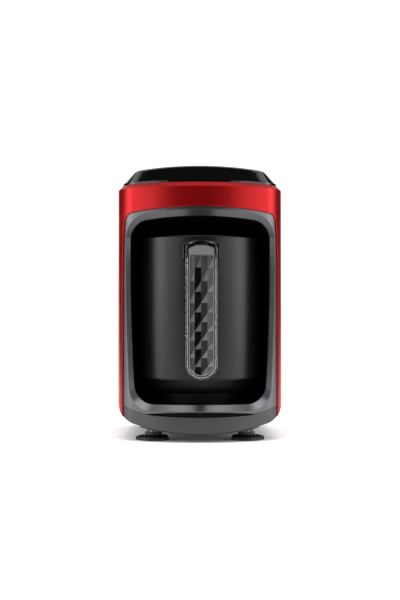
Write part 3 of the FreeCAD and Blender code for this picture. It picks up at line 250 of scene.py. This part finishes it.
FINISHES = {
    # Metal-flake lacquer under a clear coat: a deep red that brightens where it turns to the light.
    "red_lacquer": Finish("metallic_red_lacquer", "b0070d", Gloss.SATIN, metallic=0.68, coat=0.05,
                          grain_mm=0.35, mottle=0.08, relief_mm=0.002),
    # Sprayed aluminium-flake paint on ABS: a soft grey metal look.
    "gunmetal": Finish("gunmetal_flake_paint", "606163", Gloss.SATIN, metallic=0.85, grain_mm=0.35,
                       mottle=0.08, relief_mm=0.003),
    # The same flake paint as the frame, painted darker on the base as painted shade for the dim light its front
    # gets.
    "base_gunmetal_painted_shade": Finish("gunmetal_flake_paint_painted_shade", "4c4c4e", Gloss.SATIN, metallic=0.85, grain_mm=0.35,
                            mottle=0.08, relief_mm=0.003),
    # Polished piano-black ABS.
    "gloss_black": Finish("piano_black_abs", "0c0c0d", Gloss.POLISHED, coat=0.2, mottle=0.05,
                          relief_mm=0.001),
    # The same plastic with a plainer face, for the control strip and its buttons.
    "panel_black": Finish("satin_black_abs", "17181a", Gloss.BRIGHT, mottle=0.05, relief_mm=0.004),
    # Spark-eroded mould grain on plain black plastic.
    "housing_black": Finish("grained_black_abs", "0b0b0b", Gloss.SOFT, grain_mm=0.7, mottle=0.12,
                            relief_mm=0.03),
    # Deep matt grain that keeps the bay free of glare.
    "bay_black": Finish("matt_black_lining", "060606", Gloss.MATT, grain_mm=0.6, mottle=0.1, relief_mm=0.02,
                        specular=0.12),
    # Heat-proof satin black: paint on the pot's steel, and the like on its moulded parts.
    "pot_black": Finish("satin_black_enamel", "121213", Gloss.SATIN, grain_mm=0.5, mottle=0.08,
                        relief_mm=0.006, specular=0.36),
    "clear_plastic": ClearFinish("clear_copolyester", "f4f4f3", roughness=0.05),
    # Smoky moulded plastic over a dark backing, with painted light and shade: a colour attribute gives each
    # facet a flat tone for how it faces the lamps, dark or light.
    "facet_grey": Finish("smoky_relief_painted_facet_light", "f2f2f2", Gloss.SATIN, mottle=0.05, specular=0.03,
                         tint="painted_facet_light"),
    "light_grey": Finish("light_grey_abs", "8f9093", Gloss.SATIN, mottle=0.05),
    "cup_rubber": Finish("black_silicone_rubber", "0e0e0e", Gloss.SOFT, mottle=0.1, relief_mm=0.02),
    "stem_grey": ClearFinish("smoky_polycarbonate", "8d8f92", roughness=0.15),
    "steel": Finish("brushed_stainless", "b9babb", Gloss.SATIN, metallic=1.0, grain_mm=0.4, mottle=0.06),
    "aluminium": Finish("turned_aluminium", "c9cacc", Gloss.SATIN, metallic=1.0),
    "element_steel": Finish("oxidised_steel_tube", "5d5650", Gloss.SOFT, metallic=0.9),
    "brass": Finish("bright_brass", "c9a55a", Gloss.BRIGHT, metallic=1.0),
    "circuit_board": Finish("green_solder_resist", "14532d", Gloss.BRIGHT),
    "component_plastic": Finish("component_plastic", "26272a", Gloss.SOFT),
    "transformer_core": Finish("varnished_lamination", "4b4640", Gloss.SOFT, metallic=0.6),
    "lens": Finish("milky_light_guide", "8b8d92", Gloss.BRIGHT),
}


# ---------------------------------------------------------------- mesh helpers
def piece_from(name: str, vertices: np.ndarray, faces: list, material: bpy.types.Material,
               sharp_deg: float = 32.0) -> bpy.types.Object:
    """Makes a mesh object with smooth shading that stays crisp at sharp edges.

    Args:
        name: name of the piece.
        vertices: array of points in metres.
        faces: lists of vertex numbers.
        material: finish of the whole piece.
        sharp_deg: edges that turn more than this stay sharp.

    Returns:
        The new object at the origin.
    """
    mesh = bpy.data.meshes.new(name)
    mesh.from_pydata(vertices.tolist(), [], faces)
    mesh.validate()
    mesh.shade_smooth()
    mesh.set_sharp_from_angle(angle=math.radians(sharp_deg))
    mesh.materials.append(material)
    piece = bpy.data.objects.new(name, mesh)
    bpy.context.scene.collection.objects.link(piece)
    return piece


def grid_faces(rows: int, columns: int, wrap: bool = False) -> list:
    """Quads over a grid of rows and columns, closed round its columns where wrap is set."""
    r, c = np.meshgrid(np.arange(rows - 1), np.arange(columns if wrap else columns - 1), indexing="ij")
    nxt = (c + 1) % columns
    quads = np.stack([r * columns + c, r * columns + nxt, (r + 1) * columns + nxt, (r + 1) * columns + c], -1)
    return quads.reshape(-1, 4).tolist()


def weld(piece: bpy.types.Object) -> None:
    """Merges a piece's doubled points and turns its faces outwards."""
    shape = bmesh.new()
    shape.from_mesh(piece.data)
    bmesh.ops.remove_doubles(shape, verts=shape.verts, dist=1e-6)
    bmesh.ops.recalc_face_normals(shape, faces=shape.faces)
    shape.to_mesh(piece.data)
    shape.free()


def paint_faces(piece: bpy.types.Object, attribute: str, colours: Grid) -> None:
    """Gives each face of a piece one colour, in a colour attribute.

    Args:
        piece: the piece.
        attribute: name of the attribute.
        colours: linear red, green and blue of each face.
    """
    mesh = piece.data
    corners = np.empty(len(mesh.polygons), int)
    mesh.polygons.foreach_get("loop_total", corners)
    opaque = np.hstack([colours, np.ones((len(colours), 1))])
    painted = mesh.color_attributes.new(attribute, "FLOAT_COLOR", "CORNER")
    painted.data.foreach_set("color", np.repeat(opaque, corners, 0).ravel())


def turned_shell(profile: Grid, centre: tuple[float, float], segments: int, swell: Grid | float = 0.0,
                 lift: Grid | float = 0.0) -> tuple[Grid, Grid]:
    """Carries a closed (radius, height) outline round a vertical axis.

    A point is centre + (radius + swell) * (cos, sin) of the turn, at the outline's height + lift.

    Args:
        profile: rows of radius and height in metres, listed counter-clockwise.
        centre: x and y of the axis.
        segments: steps round the axis.
        swell: extra radius for each row and step.
        lift: extra height for each row and step.

    Returns:
        Points, and quads of point numbers.
    """
    turn = np.linspace(0, 2 * np.pi, segments, endpoint=False)
    radius = profile[:, :1] + swell + 0 * turn
    height = profile[:, 1:] + lift + 0 * turn
    points = np.stack([centre[0] + radius * np.cos(turn), centre[1] + radius * np.sin(turn), height], -1)
    count = len(profile)
    r, k = np.meshgrid(np.arange(count), np.arange(segments), indexing="ij")
    up, on = (r + 1) % count, (k + 1) % segments
    quads = np.stack([r * segments + k, r * segments + on, up * segments + on, up * segments + k], -1)
    return points.reshape(-1, 3), quads.reshape(-1, 4)


@dataclass
class Dresser:
    """Gives the CAD nodes their finishes, as smooth-shaded twins that ride on the same body.

    Attributes:
        materials: built finishes by name.
        slot_of: material slot of each node.
        body_of: body that carries each node.
        done: nodes that have their looks.
    """

    frame: dict
    materials: dict = field(init=False)
    slot_of: dict = field(init=False)
    body_of: dict = field(init=False)
    done: list = field(default_factory=list)

    def __post_init__(self) -> None:
        """Builds each finish once, and reads the nodes' slots and bodies from the record."""
        self.materials = {name: finish.build() for name, finish in FINISHES.items()}
        record = self.frame["record"]
        self.slot_of = {part["node"]: part["material_slot"] for part in record["subparts"]}
        self.body_of = {node: body for body, nodes in record["behaviour"]["bodies"].items() for node in nodes}

    def twin(self, node: str, sharp_deg: float = 32.0, finish: str = "") -> bpy.types.Object:
        """Makes a merged, smooth-shaded copy of a node that stands for it.

        Args:
            node: name of the CAD node.
            sharp_deg: edges that turn more than this stay sharp.
            finish: name of its finish, where it isn't that of its slot.

        Returns:
            The copy, riding on the node's body.
        """
        source = self.frame["nodes"][node]
        mesh = source.data.copy()
        mesh.name = f"{node}_shape"
        points = np.empty(len(mesh.vertices) * 3)
        mesh.vertices.foreach_get("co", points)
        points = points.reshape(-1, 3)
        corners = np.empty(len(mesh.loops), int)
        mesh.loops.foreach_get("vertex_index", corners)
        _, index, inverse = np.unique(np.round(points / 1e-7), axis=0, return_index=True, return_inverse=True)
        faces = inverse.reshape(-1)[corners].reshape(-1, 3)
        whole = (faces[:, 0] != faces[:, 1]) & (faces[:, 1] != faces[:, 2]) & (faces[:, 0] != faces[:, 2])
        bpy.data.meshes.remove(mesh)
        slot = self.slot_of[node]
        copy = piece_from(f"{node}_dress", points[index], faces[whole].tolist(),
                          self.materials[finish or slot], sharp_deg)
        # Large faces set the shading, so flat ones stay flat beside their roundings.
        level = copy.modifiers.new("level_faces", "WEIGHTED_NORMAL")
        level.keep_sharp = True
        level.weight = 80
        return self.settle(copy, slot, node)

    def settle(self, piece: bpy.types.Object, slot: str, *nodes: str, body: str = "") -> bpy.types.Object:
        """Rides a piece on its body and hides the nodes that it stands for.

        Args:
            piece: the piece.
            slot: its material slot; not used.
            nodes: CAD nodes that it replaces.
            body: its body, where it replaces no node.

        Returns:
            The piece.
        """
        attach(piece, body or self.body_of[nodes[0]])
        if nodes:
            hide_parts(*nodes)
            self.done.extend(nodes)
        LOG.info("%s: %d faces", piece.name, len(piece.data.polygons))
        return piece


# ---------------------------------------------------------------- the dressed assemblies
@dataclass
class Pot:
    """The docked pot: its outer wall is carried round finely, the rest follows the solids.

    Attributes:
        dresser: gives the finishes.
        thick: thickness of the outer wall.
        roll: radius of the wall's lower edge.
    """

    dresser: Dresser
    thick: float = 1.8 * MM
    roll: float = 0.7 * MM

    def wall(self) -> bpy.types.Object:
        """Outer wall with a rolled lower edge.

        The outline runs round a tube between two radii; its lower outer corner is a quarter circle.
        """
        (x0, y0, z0), (x1, y1, z1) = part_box("outer_sleeve")
        radius, roll = (x1 - x0) / 2, self.roll
        turn = np.linspace(0, np.pi / 2, 7)
        corner = np.stack([radius - roll + roll * np.sin(turn), z0 + roll - roll * np.cos(turn)], -1)
        profile = np.vstack([[radius - self.thick, z0], corner, [radius, z1], [radius - self.thick, z1]])
        points, quads = turned_shell(profile, ((x0 + x1) / 2, (y0 + y1) / 2), 256)
        piece = piece_from("pot_wall", points, quads.tolist(), self.dresser.materials["pot_black"])
        return self.dresser.settle(piece, "pot_black", "outer_sleeve")

    def build(self) -> None:
        """Adds every visible and hidden piece of the pot but the grip."""
        self.wall()
        for node in ("inner_vessel", "rim_collar", "base_skirt", "bottom_cover", "skirt_screws", "heater_plate",
                     "heating_element", "thermostat", "pot_connector", "contact_sockets"):
            self.dresser.twin(node)


@dataclass
class Grip:
    """The pot's handle: a faceted relief seen through a clear cover, under a black hood.

    The relief has four upright columns of cells. Each cell ends below in a slanting edge, and a notch climbs
    from that edge to the next cell. Its colours are painted light and shade: each column's cells take a flat
    painted shade for how their facets face the lamps, and the notches a painted highlight.

    Attributes:
        dresser: gives the finishes.
        columns: column edges, in half-widths of the relief.
        slopes: depth at each column edge, in millimetres behind the front.
        levels: depth of each half-row below the relief's top, in millimetres.
        cell_painted_shades: sRGB painted shade of each column's cells, for how the column's facets face the
            lamps.
        notch_painted_highlights: sRGB painted highlight of each column's notches.
        plain_painted_shades: sRGB painted shade of each column above its first row.
        rim_painted_highlight: sRGB painted highlight of the raised rim.
        rim: width of the raised rim.
        rim_depth: how far the rim lies behind the front.
        back_wall: least thickness of the relief.
        lean: how far a cell's lower edge lies behind its upper edge.
        edge: radius of the clear cover's front edge.
        inner_edge: radius of the same edge inside.
        wall: thickness of the clear cover.
        corner: radius of the clear cover's upper corners.
    """

    dresser: Dresser
    columns: tuple = (-1.0, -0.548, -0.03, 0.484, 1.0)
    slopes: tuple = (1.2, 0.0, 0.0, 0.9, 2.2)
    levels: tuple = (0.0, 11.6, 23.9, 33.3, 43.4, 51.8, 60.4, 68.8, 76.9, 84.6, 92.4, 100.4, 107.4, 115.0)
    cell_painted_shades: tuple = ("5a5a5b", "161617", "3e3e3f", "7c7c7d")
    notch_painted_highlights: tuple = ("88888a", "727273", "878788", "9f9fa0")
    plain_painted_shades: tuple = ("6c6c6d", "4f4f50", "525253", "747475")
    rim_painted_highlight: str = "b4b4b5"
    rim: float = 0.75 * MM
    rim_depth: float = 0.1 * MM
    back_wall: float = 0.3 * MM
    lean: float = 1.5 * MM
    edge: float = 2.6 * MM
    inner_edge: float = 0.8 * MM
    wall: float = 2.1 * MM
    corner: float = 7 * MM

    def relief_at(self, x: Grid, drop: Grid, half: float) -> tuple[Grid, Grid]:
        """Depth of the relief, and its painted light and shade.

        Half-rows count down from the top. In a column, a cell starts at every second half-row; the notch above
        it is a triangle whose height grows from nothing at the column's left edge to a half-row at its right.
        The second and fourth columns start a half-row higher than the others.

        Args:
            x: distance to the right of the middle.
            drop: distance below the relief's top.
            half: half-width of the relief.

        Returns:
            Depth behind the front, and the linear painted tone of light and shade.
        """
        edges = np.array(self.columns) * half
        column = np.clip(np.searchsorted(edges, x, side="right") - 1, 0, len(edges) - 2)
        across = np.clip((x - edges[column]) / (edges[column + 1] - edges[column]), 0, 1)
        half_row = np.interp(drop, np.array(self.levels) * MM, np.arange(len(self.levels)))
        first = 2 - column % 2
        below = np.mod(half_row - first, 2)
        plain = half_row < first - across
        notch = (2 - below < across) & ~plain
        sunk = np.where(notch, (2 - across) * (2 - below) / np.maximum(across, 1e-6), below) / 2
        depth = np.interp(x, edges, np.array(self.slopes) * MM) + self.lean * np.where(plain, 0, sunk)
        # Painted light and shade: cells, notches and the plain tops take their column's listed painted tone.
        painted_tones = np.array([[srgb(code)[:3] for code in row]
                          for row in (self.cell_painted_shades, self.notch_painted_highlights, self.plain_painted_shades)])
        return depth, painted_tones[np.where(plain, 2, np.where(notch, 1, 0)), column]

    def relief(self) -> bpy.types.Object:
        """Relief plate: its outline is a strip with a round lower end and a raised rim, painted lighter as a
        painted highlight.

        Across, a point is the strip's half-width at its height times a step from -1 to 1. Each row is closed
        by two points on the flat back.
        """
        (x0, y0, z0), (x1, y1, z1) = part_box("handle_facet_insert")
        half, middle = (x1 - x0) / 2, (x0 + x1) / 2
        bend = np.linspace(0.02, np.pi / 2, 30)
        straight = np.linspace(z0 + half, z1, 280)[1:]
        height = np.concatenate([z0 + half * (1 - np.cos(bend)), straight])
        width = np.concatenate([half * np.sin(bend), np.full(len(straight), half)])
        x = width[:, None] * np.linspace(-1, 1, 89)
        z = height[:, None] + 0 * x

        def on_rim(across: Grid, level: Grid) -> Grid:
            """True within a rim's width of the outline: round end below, straight sides and top above."""
            ends = half - np.hypot(across, np.minimum(level - (z0 + half), 0))
            return np.minimum(ends, z1 - level) < self.rim

        depth, _ = self.relief_at(x, z1 - z, half)
        depth = np.where(on_rim(x, z), self.rim_depth, depth)
        depth = np.minimum(depth, y1 - y0 - self.back_wall)
        back = np.full((len(height), 2), y1)
        rows = np.stack([middle + np.hstack([x, x[:, -1:], x[:, :1]]), np.hstack([y0 + depth, back]),
                         np.hstack([z, z[:, :2]])], -1)
        count = rows.shape[1]
        quads = grid_faces(len(height), count, wrap=True)
        top = (len(height) - 1) * count
        faces = quads + [list(range(count))[::-1], list(range(top, top + count))]
        piece = piece_from("grip_relief", rows.reshape(-1, 3), faces, self.dresser.materials["facet_grey"], 0.5)
        centres = np.empty(len(piece.data.polygons) * 3)
        piece.data.polygons.foreach_get("center", centres)
        across, _, level = centres.reshape(-1, 3).T
        # Painted light and shade on each face; the rim gets its painted highlight.
        _, tint = self.relief_at(across - middle, z1 - level, half)
        paint_faces(piece, "painted_facet_light",
                    np.where(on_rim(across - middle, level)[:, None], srgb(self.rim_painted_highlight)[:3], tint))
        return self.dresser.settle(piece, "facet_grey", "handle_facet_insert")

    def outline(self, half: float, low: float, top: float) -> Grid:
        """Closed outline of the grip from the front: half circle below, straight sides, round upper corners.

        Args:
            half: half-width.
            low: height of the lower end.
            top: height of the upper end.

        Returns:
            Counter-clockwise points (x, z).
        """
        low_turn = np.linspace(-np.pi, 0, 49)
        side = np.linspace(low + half, top - self.corner, 60)[1:-1]
        turn = np.linspace(0, np.pi / 2, 9)
        right = np.stack([half, top], -1) - self.corner * (1 - np.stack([np.cos(turn), np.sin(turn)], -1))
        return np.vstack([
            np.stack([half * np.cos(low_turn), low + half + half * np.sin(low_turn)], -1),
            np.stack([np.full(len(side), half), side], -1), right,
            right[::-1] * (-1, 1), np.stack([np.full(len(side), -half), side[::-1]], -1),
        ])

    def cover(self) -> bpy.types.Object:
        """Clear cover: an even wall with a round front edge.

        A ring is the outline moved inwards by an inset, at a depth behind the front. The insets and depths run
        up the outer side, round the front edge, and over the face to its middle line; the inner side follows
        at one wall's distance.
        """
        (x0, y0, z0), (x1, y1, z1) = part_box("handle_clear_cover")
        middle, half, wall = (x0 + x1) / 2, (x1 - x0) / 2, self.wall
        line = self.outline(half, z0, z1)
        along = np.roll(line, -1, 0) - np.roll(line, 1, 0)
        inward = np.stack([-along[:, 1], along[:, 0]], -1) / np.hypot(*along.T)[:, None]
        spine = np.stack([0 * line[:, 0], np.clip(line[:, 1], z0 + half, z1 - self.corner - 1 * MM)], -1)
        bend = np.linspace(0, np.pi / 2, 12)
        quarter = 1 - np.stack([np.cos(bend), np.sin(bend)], -1)
        outer = np.vstack([(0, y1 - y0), self.edge * quarter])
        inner = np.vstack([wall + self.inner_edge * quarter[::-1], (wall, y1 - y0)])

        def ring(inset: float, depth: float) -> Grid:
            """Outline moved inwards, at one depth."""
            return np.insert(line + inward * inset, 1, y0 + depth, axis=1)

        rings = [ring(*step) for step in outer] + [np.insert(spine, 1, y0, axis=1)]
        rings += [np.insert(spine, 1, y0 + wall, axis=1)] + [ring(*step) for step in inner]
        points = np.stack(rings) + (middle, 0, 0)
        count, steps = points.shape[:2]
        half_way = len(outer) + 1
        quads = [face for face in grid_faces(count, steps, wrap=True)
                 if not (half_way - 1) * steps <= face[0] < half_way * steps]
        back = (count - 1) * steps + np.arange(steps)
        k = np.arange(steps)
        quads += np.stack([k, back, np.roll(back, -1), np.roll(k, -1)], -1).tolist()
        piece = piece_from("grip_cover", points.reshape(-1, 3), quads, self.dresser.materials["clear_plastic"],
                           60.0)
        weld(piece)
        return self.dresser.settle(piece, "clear_plastic", "handle_clear_cover")

    def build(self) -> None:
        """Adds the grip's pieces."""
        self.relief()
        self.cover()
        for node in ("handle_spine", "handle_top_cap", "handle_bracket", "handle_screws"):
            self.dresser.twin(node)


@dataclass
class Feet:
    """Four rubber suction cups: a low ribbed disc with a release tab and a neck for the stem.

    Attributes:
        dresser: gives the finishes.
        disc: outer radius of a cup.
        neck: radius of its neck.
        hole: radius of its screw hole.
        ribs: number of ribs on the disc's shoulder.
        tab: how far its tab reaches past the disc.
        tab_gap: what the solid's tab reaches farther.
        tab_spread: width of the tab's bell, in radians.
    """

    dresser: Dresser
    disc: float = 14.4 * MM
    neck: float = 8.2 * MM
    hole: float = 2.1 * MM
    ribs: int = 20
    tab: float = 2.7 * MM
    tab_gap: float = 0.1 * MM
    tab_spread: float = 0.16

    def outline(self, low: float, top: float) -> tuple[Grid, Grid, Grid]:
        """Outline of a cup: under the hollow disc, up its lip, over its shoulder and up the neck.

        Args:
            low: height of the table.
            top: height of the neck's end.

        Returns:
            Points (radius, height), the ribs' height at each point, and 1 at the points of the lip.
        """
        disc, neck, hole = self.disc, self.neck, self.hole
        inside = [(hole, low + 2.2 * MM), (3.8 * MM, low + 2.2 * MM), (disc - 4.5 * MM, low + 1.5 * MM),
                  (disc - 2.4 * MM, low)]
        lip = [(disc - 0.3 * MM, low), (disc, low + 0.4 * MM), (disc, low + 2.6 * MM),
               (disc - 0.5 * MM, low + 3.2 * MM)]
        shoulder = [(disc - 1.6 * MM, low + 3.9 * MM), (disc - 3.0 * MM, low + 4.1 * MM)]
        stem = [(neck + 0.9 * MM, low + 4.4 * MM), (neck, low + 5.2 * MM), (neck, top), (hole, top)]
        points = np.array(inside + lip + shoulder + stem)
        on_lip = np.repeat([0.0, 1.0, 0.0], [len(inside), len(lip), len(shoulder) + len(stem)])
        rib = np.zeros(len(points))
        last_of_lip = len(inside) + len(lip) - 1
        rib[last_of_lip:last_of_lip + 3] = (0.3 * MM, 0.8 * MM, 0.5 * MM)
        return points, rib, on_lip

    def build(self) -> None:
        """Adds the cups as one piece: ribs lift the shoulder, and the tab is a bell-shaped swell of the lip."""
        (_, y0, z0), (x1, y1, z1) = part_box("suction_cups")
        disc, segments = self.disc, 160
        outline, rib, on_lip = self.outline(z0, z1)
        turn = np.linspace(0, 2 * np.pi, segments, endpoint=False)
        lift = rib[:, None] * np.maximum(np.cos(self.ribs * turn), -0.2)
        points, quads, start = [], [], 0
        centre_x = x1 - disc - self.tab - self.tab_gap
        for side, outward in ((-1, np.pi), (1, 0.0)):
            away = np.mod(turn - outward + np.pi, 2 * np.pi) - np.pi
            swell = on_lip[:, None] * self.tab * np.exp(-((away / self.tab_spread) ** 2))
            for y in (y0 + disc, y1 - disc):
                shell, faces = turned_shell(outline, (side * centre_x, y), segments, swell, lift)
                points.append(shell)
                quads.append(faces + start)
                start += len(shell)
        piece = piece_from("rubber_cups", np.vstack(points), np.vstack(quads).tolist(),
                           self.dresser.materials["cup_rubber"])
        self.dresser.settle(piece, "cup_rubber", "suction_cups")


@dataclass
class Housing:
    """Lacquered wrap, gunmetal frame and base, lid, rear and everything inside them.

    Attributes:
        dresser: gives the finishes.
        plate: thickness of the bay's rear apron.
        margin: what the apron leaves at the bay's sides and floor.
        overlap: how far it stands up behind the lining.
        corner: radius of its lower corners.
        notch: depth of the notch for the contact socket, below the lining.
        socket_gap: what the notch leaves beside the socket.
        seat: what the apron leaves behind the bay's floor.
    """

    dresser: Dresser
    plate: float = 1.5 * MM
    margin: float = 1.2 * MM
    overlap: float = 1.5 * MM
    corner: float = 17 * MM
    notch: float = 12 * MM
    socket_gap: float = 0.2 * MM
    seat: float = 0.1 * MM

    def apron(self) -> bpy.types.Object:
        """Plate that closes the bay's rear below the lining, with a notch for the contact socket.

        Its outline is a rectangle with round lower corners; both faces are that outline, at two depths.
        """
        (x0, _, z0), (x1, y1, z1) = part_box("cavity_floor")
        (s0, _, _), (s1, _, _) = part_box("dock_socket")
        half, low, top, corner = (x1 - x0) / 2 - self.margin, z0 + self.margin, z1 + self.overlap, self.corner
        bend = np.linspace(0, np.pi / 2, 12)
        right = np.stack([half - corner + corner * np.sin(bend), low + corner - corner * np.cos(bend)], -1)
        s0, s1, notch_z = s0 - self.socket_gap, s1 + self.socket_gap, z1 - self.notch
        notch = [[s1, top], [s1, notch_z], [s0, notch_z], [s0, top]]
        outline = np.vstack([right, [half, top], notch, [-half, top], right[::-1] * (-1, 1)])
        count = len(outline)
        front = y1 + self.seat
        points = np.vstack([np.insert(outline, 1, y, axis=1) for y in (front, front + self.plate)])
        k = np.arange(count)
        sides = np.stack([k, k + count, (k + 1) % count + count, (k + 1) % count], -1)
        faces = [k.tolist(), (k[::-1] + count).tolist()] + sides.tolist()
        piece = piece_from("bay_rear_apron", points, faces, self.dresser.materials["bay_black"])
        return self.dresser.settle(piece, "bay_black", body=self.dresser.body_of["cavity_floor"])

    def build(self) -> None:
        """Adds the bay's rear apron, then every node that no other assembly has taken."""
        self.apron()
        # The base wears the gunmetal paint darkened as painted shade.
        self.dresser.twin("base_shell", finish="base_gunmetal_painted_shade")
        for node in self.dresser.frame["nodes"]:
            if node not in self.dresser.done:
                self.dresser.twin(node)


# ---------------------------------------------------------------- studio
def seen_rays(tree: bpy.types.NodeTree) -> bpy.types.NodeSocket:
    """Gives 1 on camera, mirror and see-through rays, and 0 on the rest."""
    ray = add_node(tree, "ShaderNodeLightPath")
    seen = ray.outputs["Is Camera Ray"]
    for other in ("Is Glossy Ray", "Is Transmission Ray"):
        either = add_node(tree, "ShaderNodeMath", {0: seen, 1: ray.outputs[other]}, operation="MAXIMUM")
        seen = either.outputs[0]
    return seen


@dataclass
class Studio:
    """White floor and backdrop, lamps on both sides, dark cards round the set, and the camera.

    Attributes:
        front_y: the housing's front.
        stand_off: camera to the housing's front.
        eye_height: camera over the floor.
        aim_height: height at the middle of the view.
        side_step: camera's shift to the right.
        swing_deg: camera's turn to the left of the front.
        lens_mm: focal length on a 36 mm sensor.
        lamp_height: height that the lamps face.
        floor_glow: brightness of the open floor to the eye.
        contact_fall: how fast the floor's glow darkens towards what stands on it, as a painted contact shadow.
    """

    front_y: float
    stand_off: float = 1.0
    eye_height: float = 0.1042
    aim_height: float = 0.1322
    side_step: float = -0.0007
    swing_deg: float = 1.1
    lens_mm: float = 64.84
    lamp_height: float = 0.14
    floor_glow: float = 0.92
    contact_fall: float = 1.1

    def camera(self) -> None:
        """Places the camera level with the pot, tilted up slightly."""
        data = bpy.data.cameras.new("camera")
        data.lens = self.lens_mm
        data.sensor_width = 36.0
        data.clip_start = 0.01
        camera = bpy.data.objects.new("camera", data)
        bpy.context.scene.collection.objects.link(camera)
        swing = math.radians(self.swing_deg)
        camera.location = (self.side_step - self.stand_off * math.sin(swing),
                           self.front_y - self.stand_off * math.cos(swing), self.eye_height)
        tilt = math.atan2(self.aim_height - self.eye_height, self.stand_off)
        camera.rotation_euler = (math.pi / 2 + tilt, 0, -swing)
        bpy.context.scene.camera = camera

    def softbox(self, name: str, azimuth_deg: float, elevation_deg: float, distance: float,
                size: tuple[float, float], power: float) -> None:
        """Places one rectangular lamp that faces the pot.

        Args:
            name: name of the lamp.
            azimuth_deg: turn from the front, positive to the right.
            elevation_deg: angle over the horizon.
            distance: lamp to the object's middle.
            size: width and height.
            power: watts.
        """
        data = bpy.data.lights.new(name, "AREA")
        data.shape = "RECTANGLE"
        data.size, data.size_y = size
        data.energy = power
        lamp = bpy.data.objects.new(name, data)
        bpy.context.scene.collection.objects.link(lamp)
        azimuth, elevation = math.radians(azimuth_deg), math.radians(elevation_deg)
        level = distance * math.cos(elevation)
        lamp.location = (level * math.sin(azimuth), -level * math.cos(azimuth),
                         self.lamp_height + distance * math.sin(elevation))
        lamp.rotation_euler = (math.pi / 2 - elevation, 0, azimuth)

    def sheet(self, name: str, outline: Grid, half_width: float,
              material: bpy.types.Material) -> bpy.types.Object:
        """Carries an outline of (y, z) points across the set, from -half_width to half_width."""
        x = np.linspace(-half_width, half_width, 3)
        y, z = outline[:, :1], outline[:, 1:]
        points = np.stack([x[None, :] + 0 * y, y + 0 * x, z + 0 * x], -1).reshape(-1, 3)
        piece = piece_from(name, points, grid_faces(len(outline), 3), material, 180.0)
        return piece

    def white(self) -> bpy.types.Material:
        """White that stays white to the eye and in mirrors; the lamps' shadows fall on its matt layer, and its
        glow darkens near the object as a painted contact shadow.
        """
        material, tree = blank_material("white_sweep")
        matt = add_node(tree, "ShaderNodeBsdfDiffuse", Color=(0.8, 0.8, 0.8, 1))
        # Painted contact shadow: ambient occlusion dims the glow where the object stands close by.
        near = add_node(tree, "ShaderNodeAmbientOcclusion", samples=8, Distance=0.05)
        open_sky = add_node(tree, "ShaderNodeMath", {0: near.outputs["AO"]}, operation="POWER")
        open_sky.inputs[1].default_value = self.contact_fall
        level = add_node(tree, "ShaderNodeMath", {0: open_sky.outputs[0]}, operation="MULTIPLY")
        level.inputs[1].default_value = self.floor_glow
        glow = add_node(tree, "ShaderNodeEmission", {"Strength": level.outputs[0]}, Color=(1, 1, 1, 1))
        off = add_node(tree, "ShaderNodeEmission", Color=(0, 0, 0, 1), Strength=0.0)
        pick = add_node(tree, "ShaderNodeMixShader",
                        {0: seen_rays(tree), 1: off.outputs[0], 2: glow.outputs[0]})
        total = add_node(tree, "ShaderNodeAddShader", {0: matt.outputs[0], 1: pick.outputs[0]})
        add_node(tree, "ShaderNodeOutputMaterial", {"Surface": total.outputs[0]})
        return material

    def sweep(self) -> None:
        """Floor that curves up into a backdrop: a quarter circle joins the level run to the upright one."""
        bend = np.linspace(0, np.pi / 2, 24)
        radius, start, height = 0.8, 1.6, 2.4
        curve = np.stack([start + radius * np.sin(bend), radius - radius * np.cos(bend)], -1)
        outline = np.vstack([[-2.5, 0.0], curve, [start + radius, height]])
        self.sheet("floor_sweep", outline, 2.5, self.white())

    def dark_cards(self) -> None:
        """Black cards before, over and beside the set, seen only in gloss and through clear plastic."""
        material = Finish("black_velvet", "020202", Gloss.MATT, specular=0.0).build()
        low = 0.004
        outline = np.array([[-0.45, low], [-1.9, low], [-1.9, 2.0], [0.5, 2.0]])
        cards = [self.sheet("dark_card", outline, 1.5, material)]
        near, far, top, aside = 0.1, 1.3, 1.2, 0.75
        for side, name in ((-1, "left"), (1, "right")):
            x = side * aside
            corners = np.array([[x, near, low], [x, far, low], [x, far, top], [x, near, top]])
            flag = piece_from(f"flag_{name}", corners, [[0, 1, 2, 3]], material)
            cards.append(flag)
        for card in cards:
            card.visible_camera = card.visible_diffuse = card.visible_shadow = False

    def world(self) -> None:
        """Dim room light; the eye and mirrors see white where nothing stands."""
        world = bpy.data.worlds.new("room")
        world.use_nodes = True
        tree = world.node_tree
        tree.nodes.clear()
        dim = add_node(tree, "ShaderNodeBackground", Color=(1, 1, 1, 1), Strength=0.10)
        white = add_node(tree, "ShaderNodeBackground", Color=(1, 1, 1, 1), Strength=1.0)
        pick = add_node(tree, "ShaderNodeMixShader",
                        {0: seen_rays(tree), 1: dim.outputs[0], 2: white.outputs[0]})
        add_node(tree, "ShaderNodeOutputWorld", {"Surface": pick.outputs[0]})
        bpy.context.scene.world = world

    def build(self) -> None:
        """Sets up the camera, the floor, the cards, the room and the lamps."""
        self.camera()
        self.sweep()
        self.dark_cards()
        self.world()
        for side, name in ((-1, "left"), (1, "right")):
            self.softbox(f"strip_{name}", side * 76, 8, 1.1, (0.42, 1.3), 5.6)
            self.softbox(f"fill_{name}", side * 46, 14, 1.3, (0.8, 1.0), 2.5)
            self.softbox(f"top_{name}", side * 34, 66, 1.2, (0.4, 0.4), 4.5)


def main() -> None:
    """Builds the dressed object and its studio."""
    logging.basicConfig(level=logging.INFO, format="%(name)s %(message)s")
    scene = bpy.context.scene
    for stray in list(scene.objects):
        bpy.data.objects.remove(stray)
    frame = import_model()
    scene.view_settings.view_transform = "Standard"
    front_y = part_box("side_and_top_shell")[0][1]
    Studio(front_y).build()
    dresser = Dresser(frame)
    for assembly in (Pot, Grip, Feet, Housing):
        assembly(dresser).build()


if __name__ == "__main__":
    main()
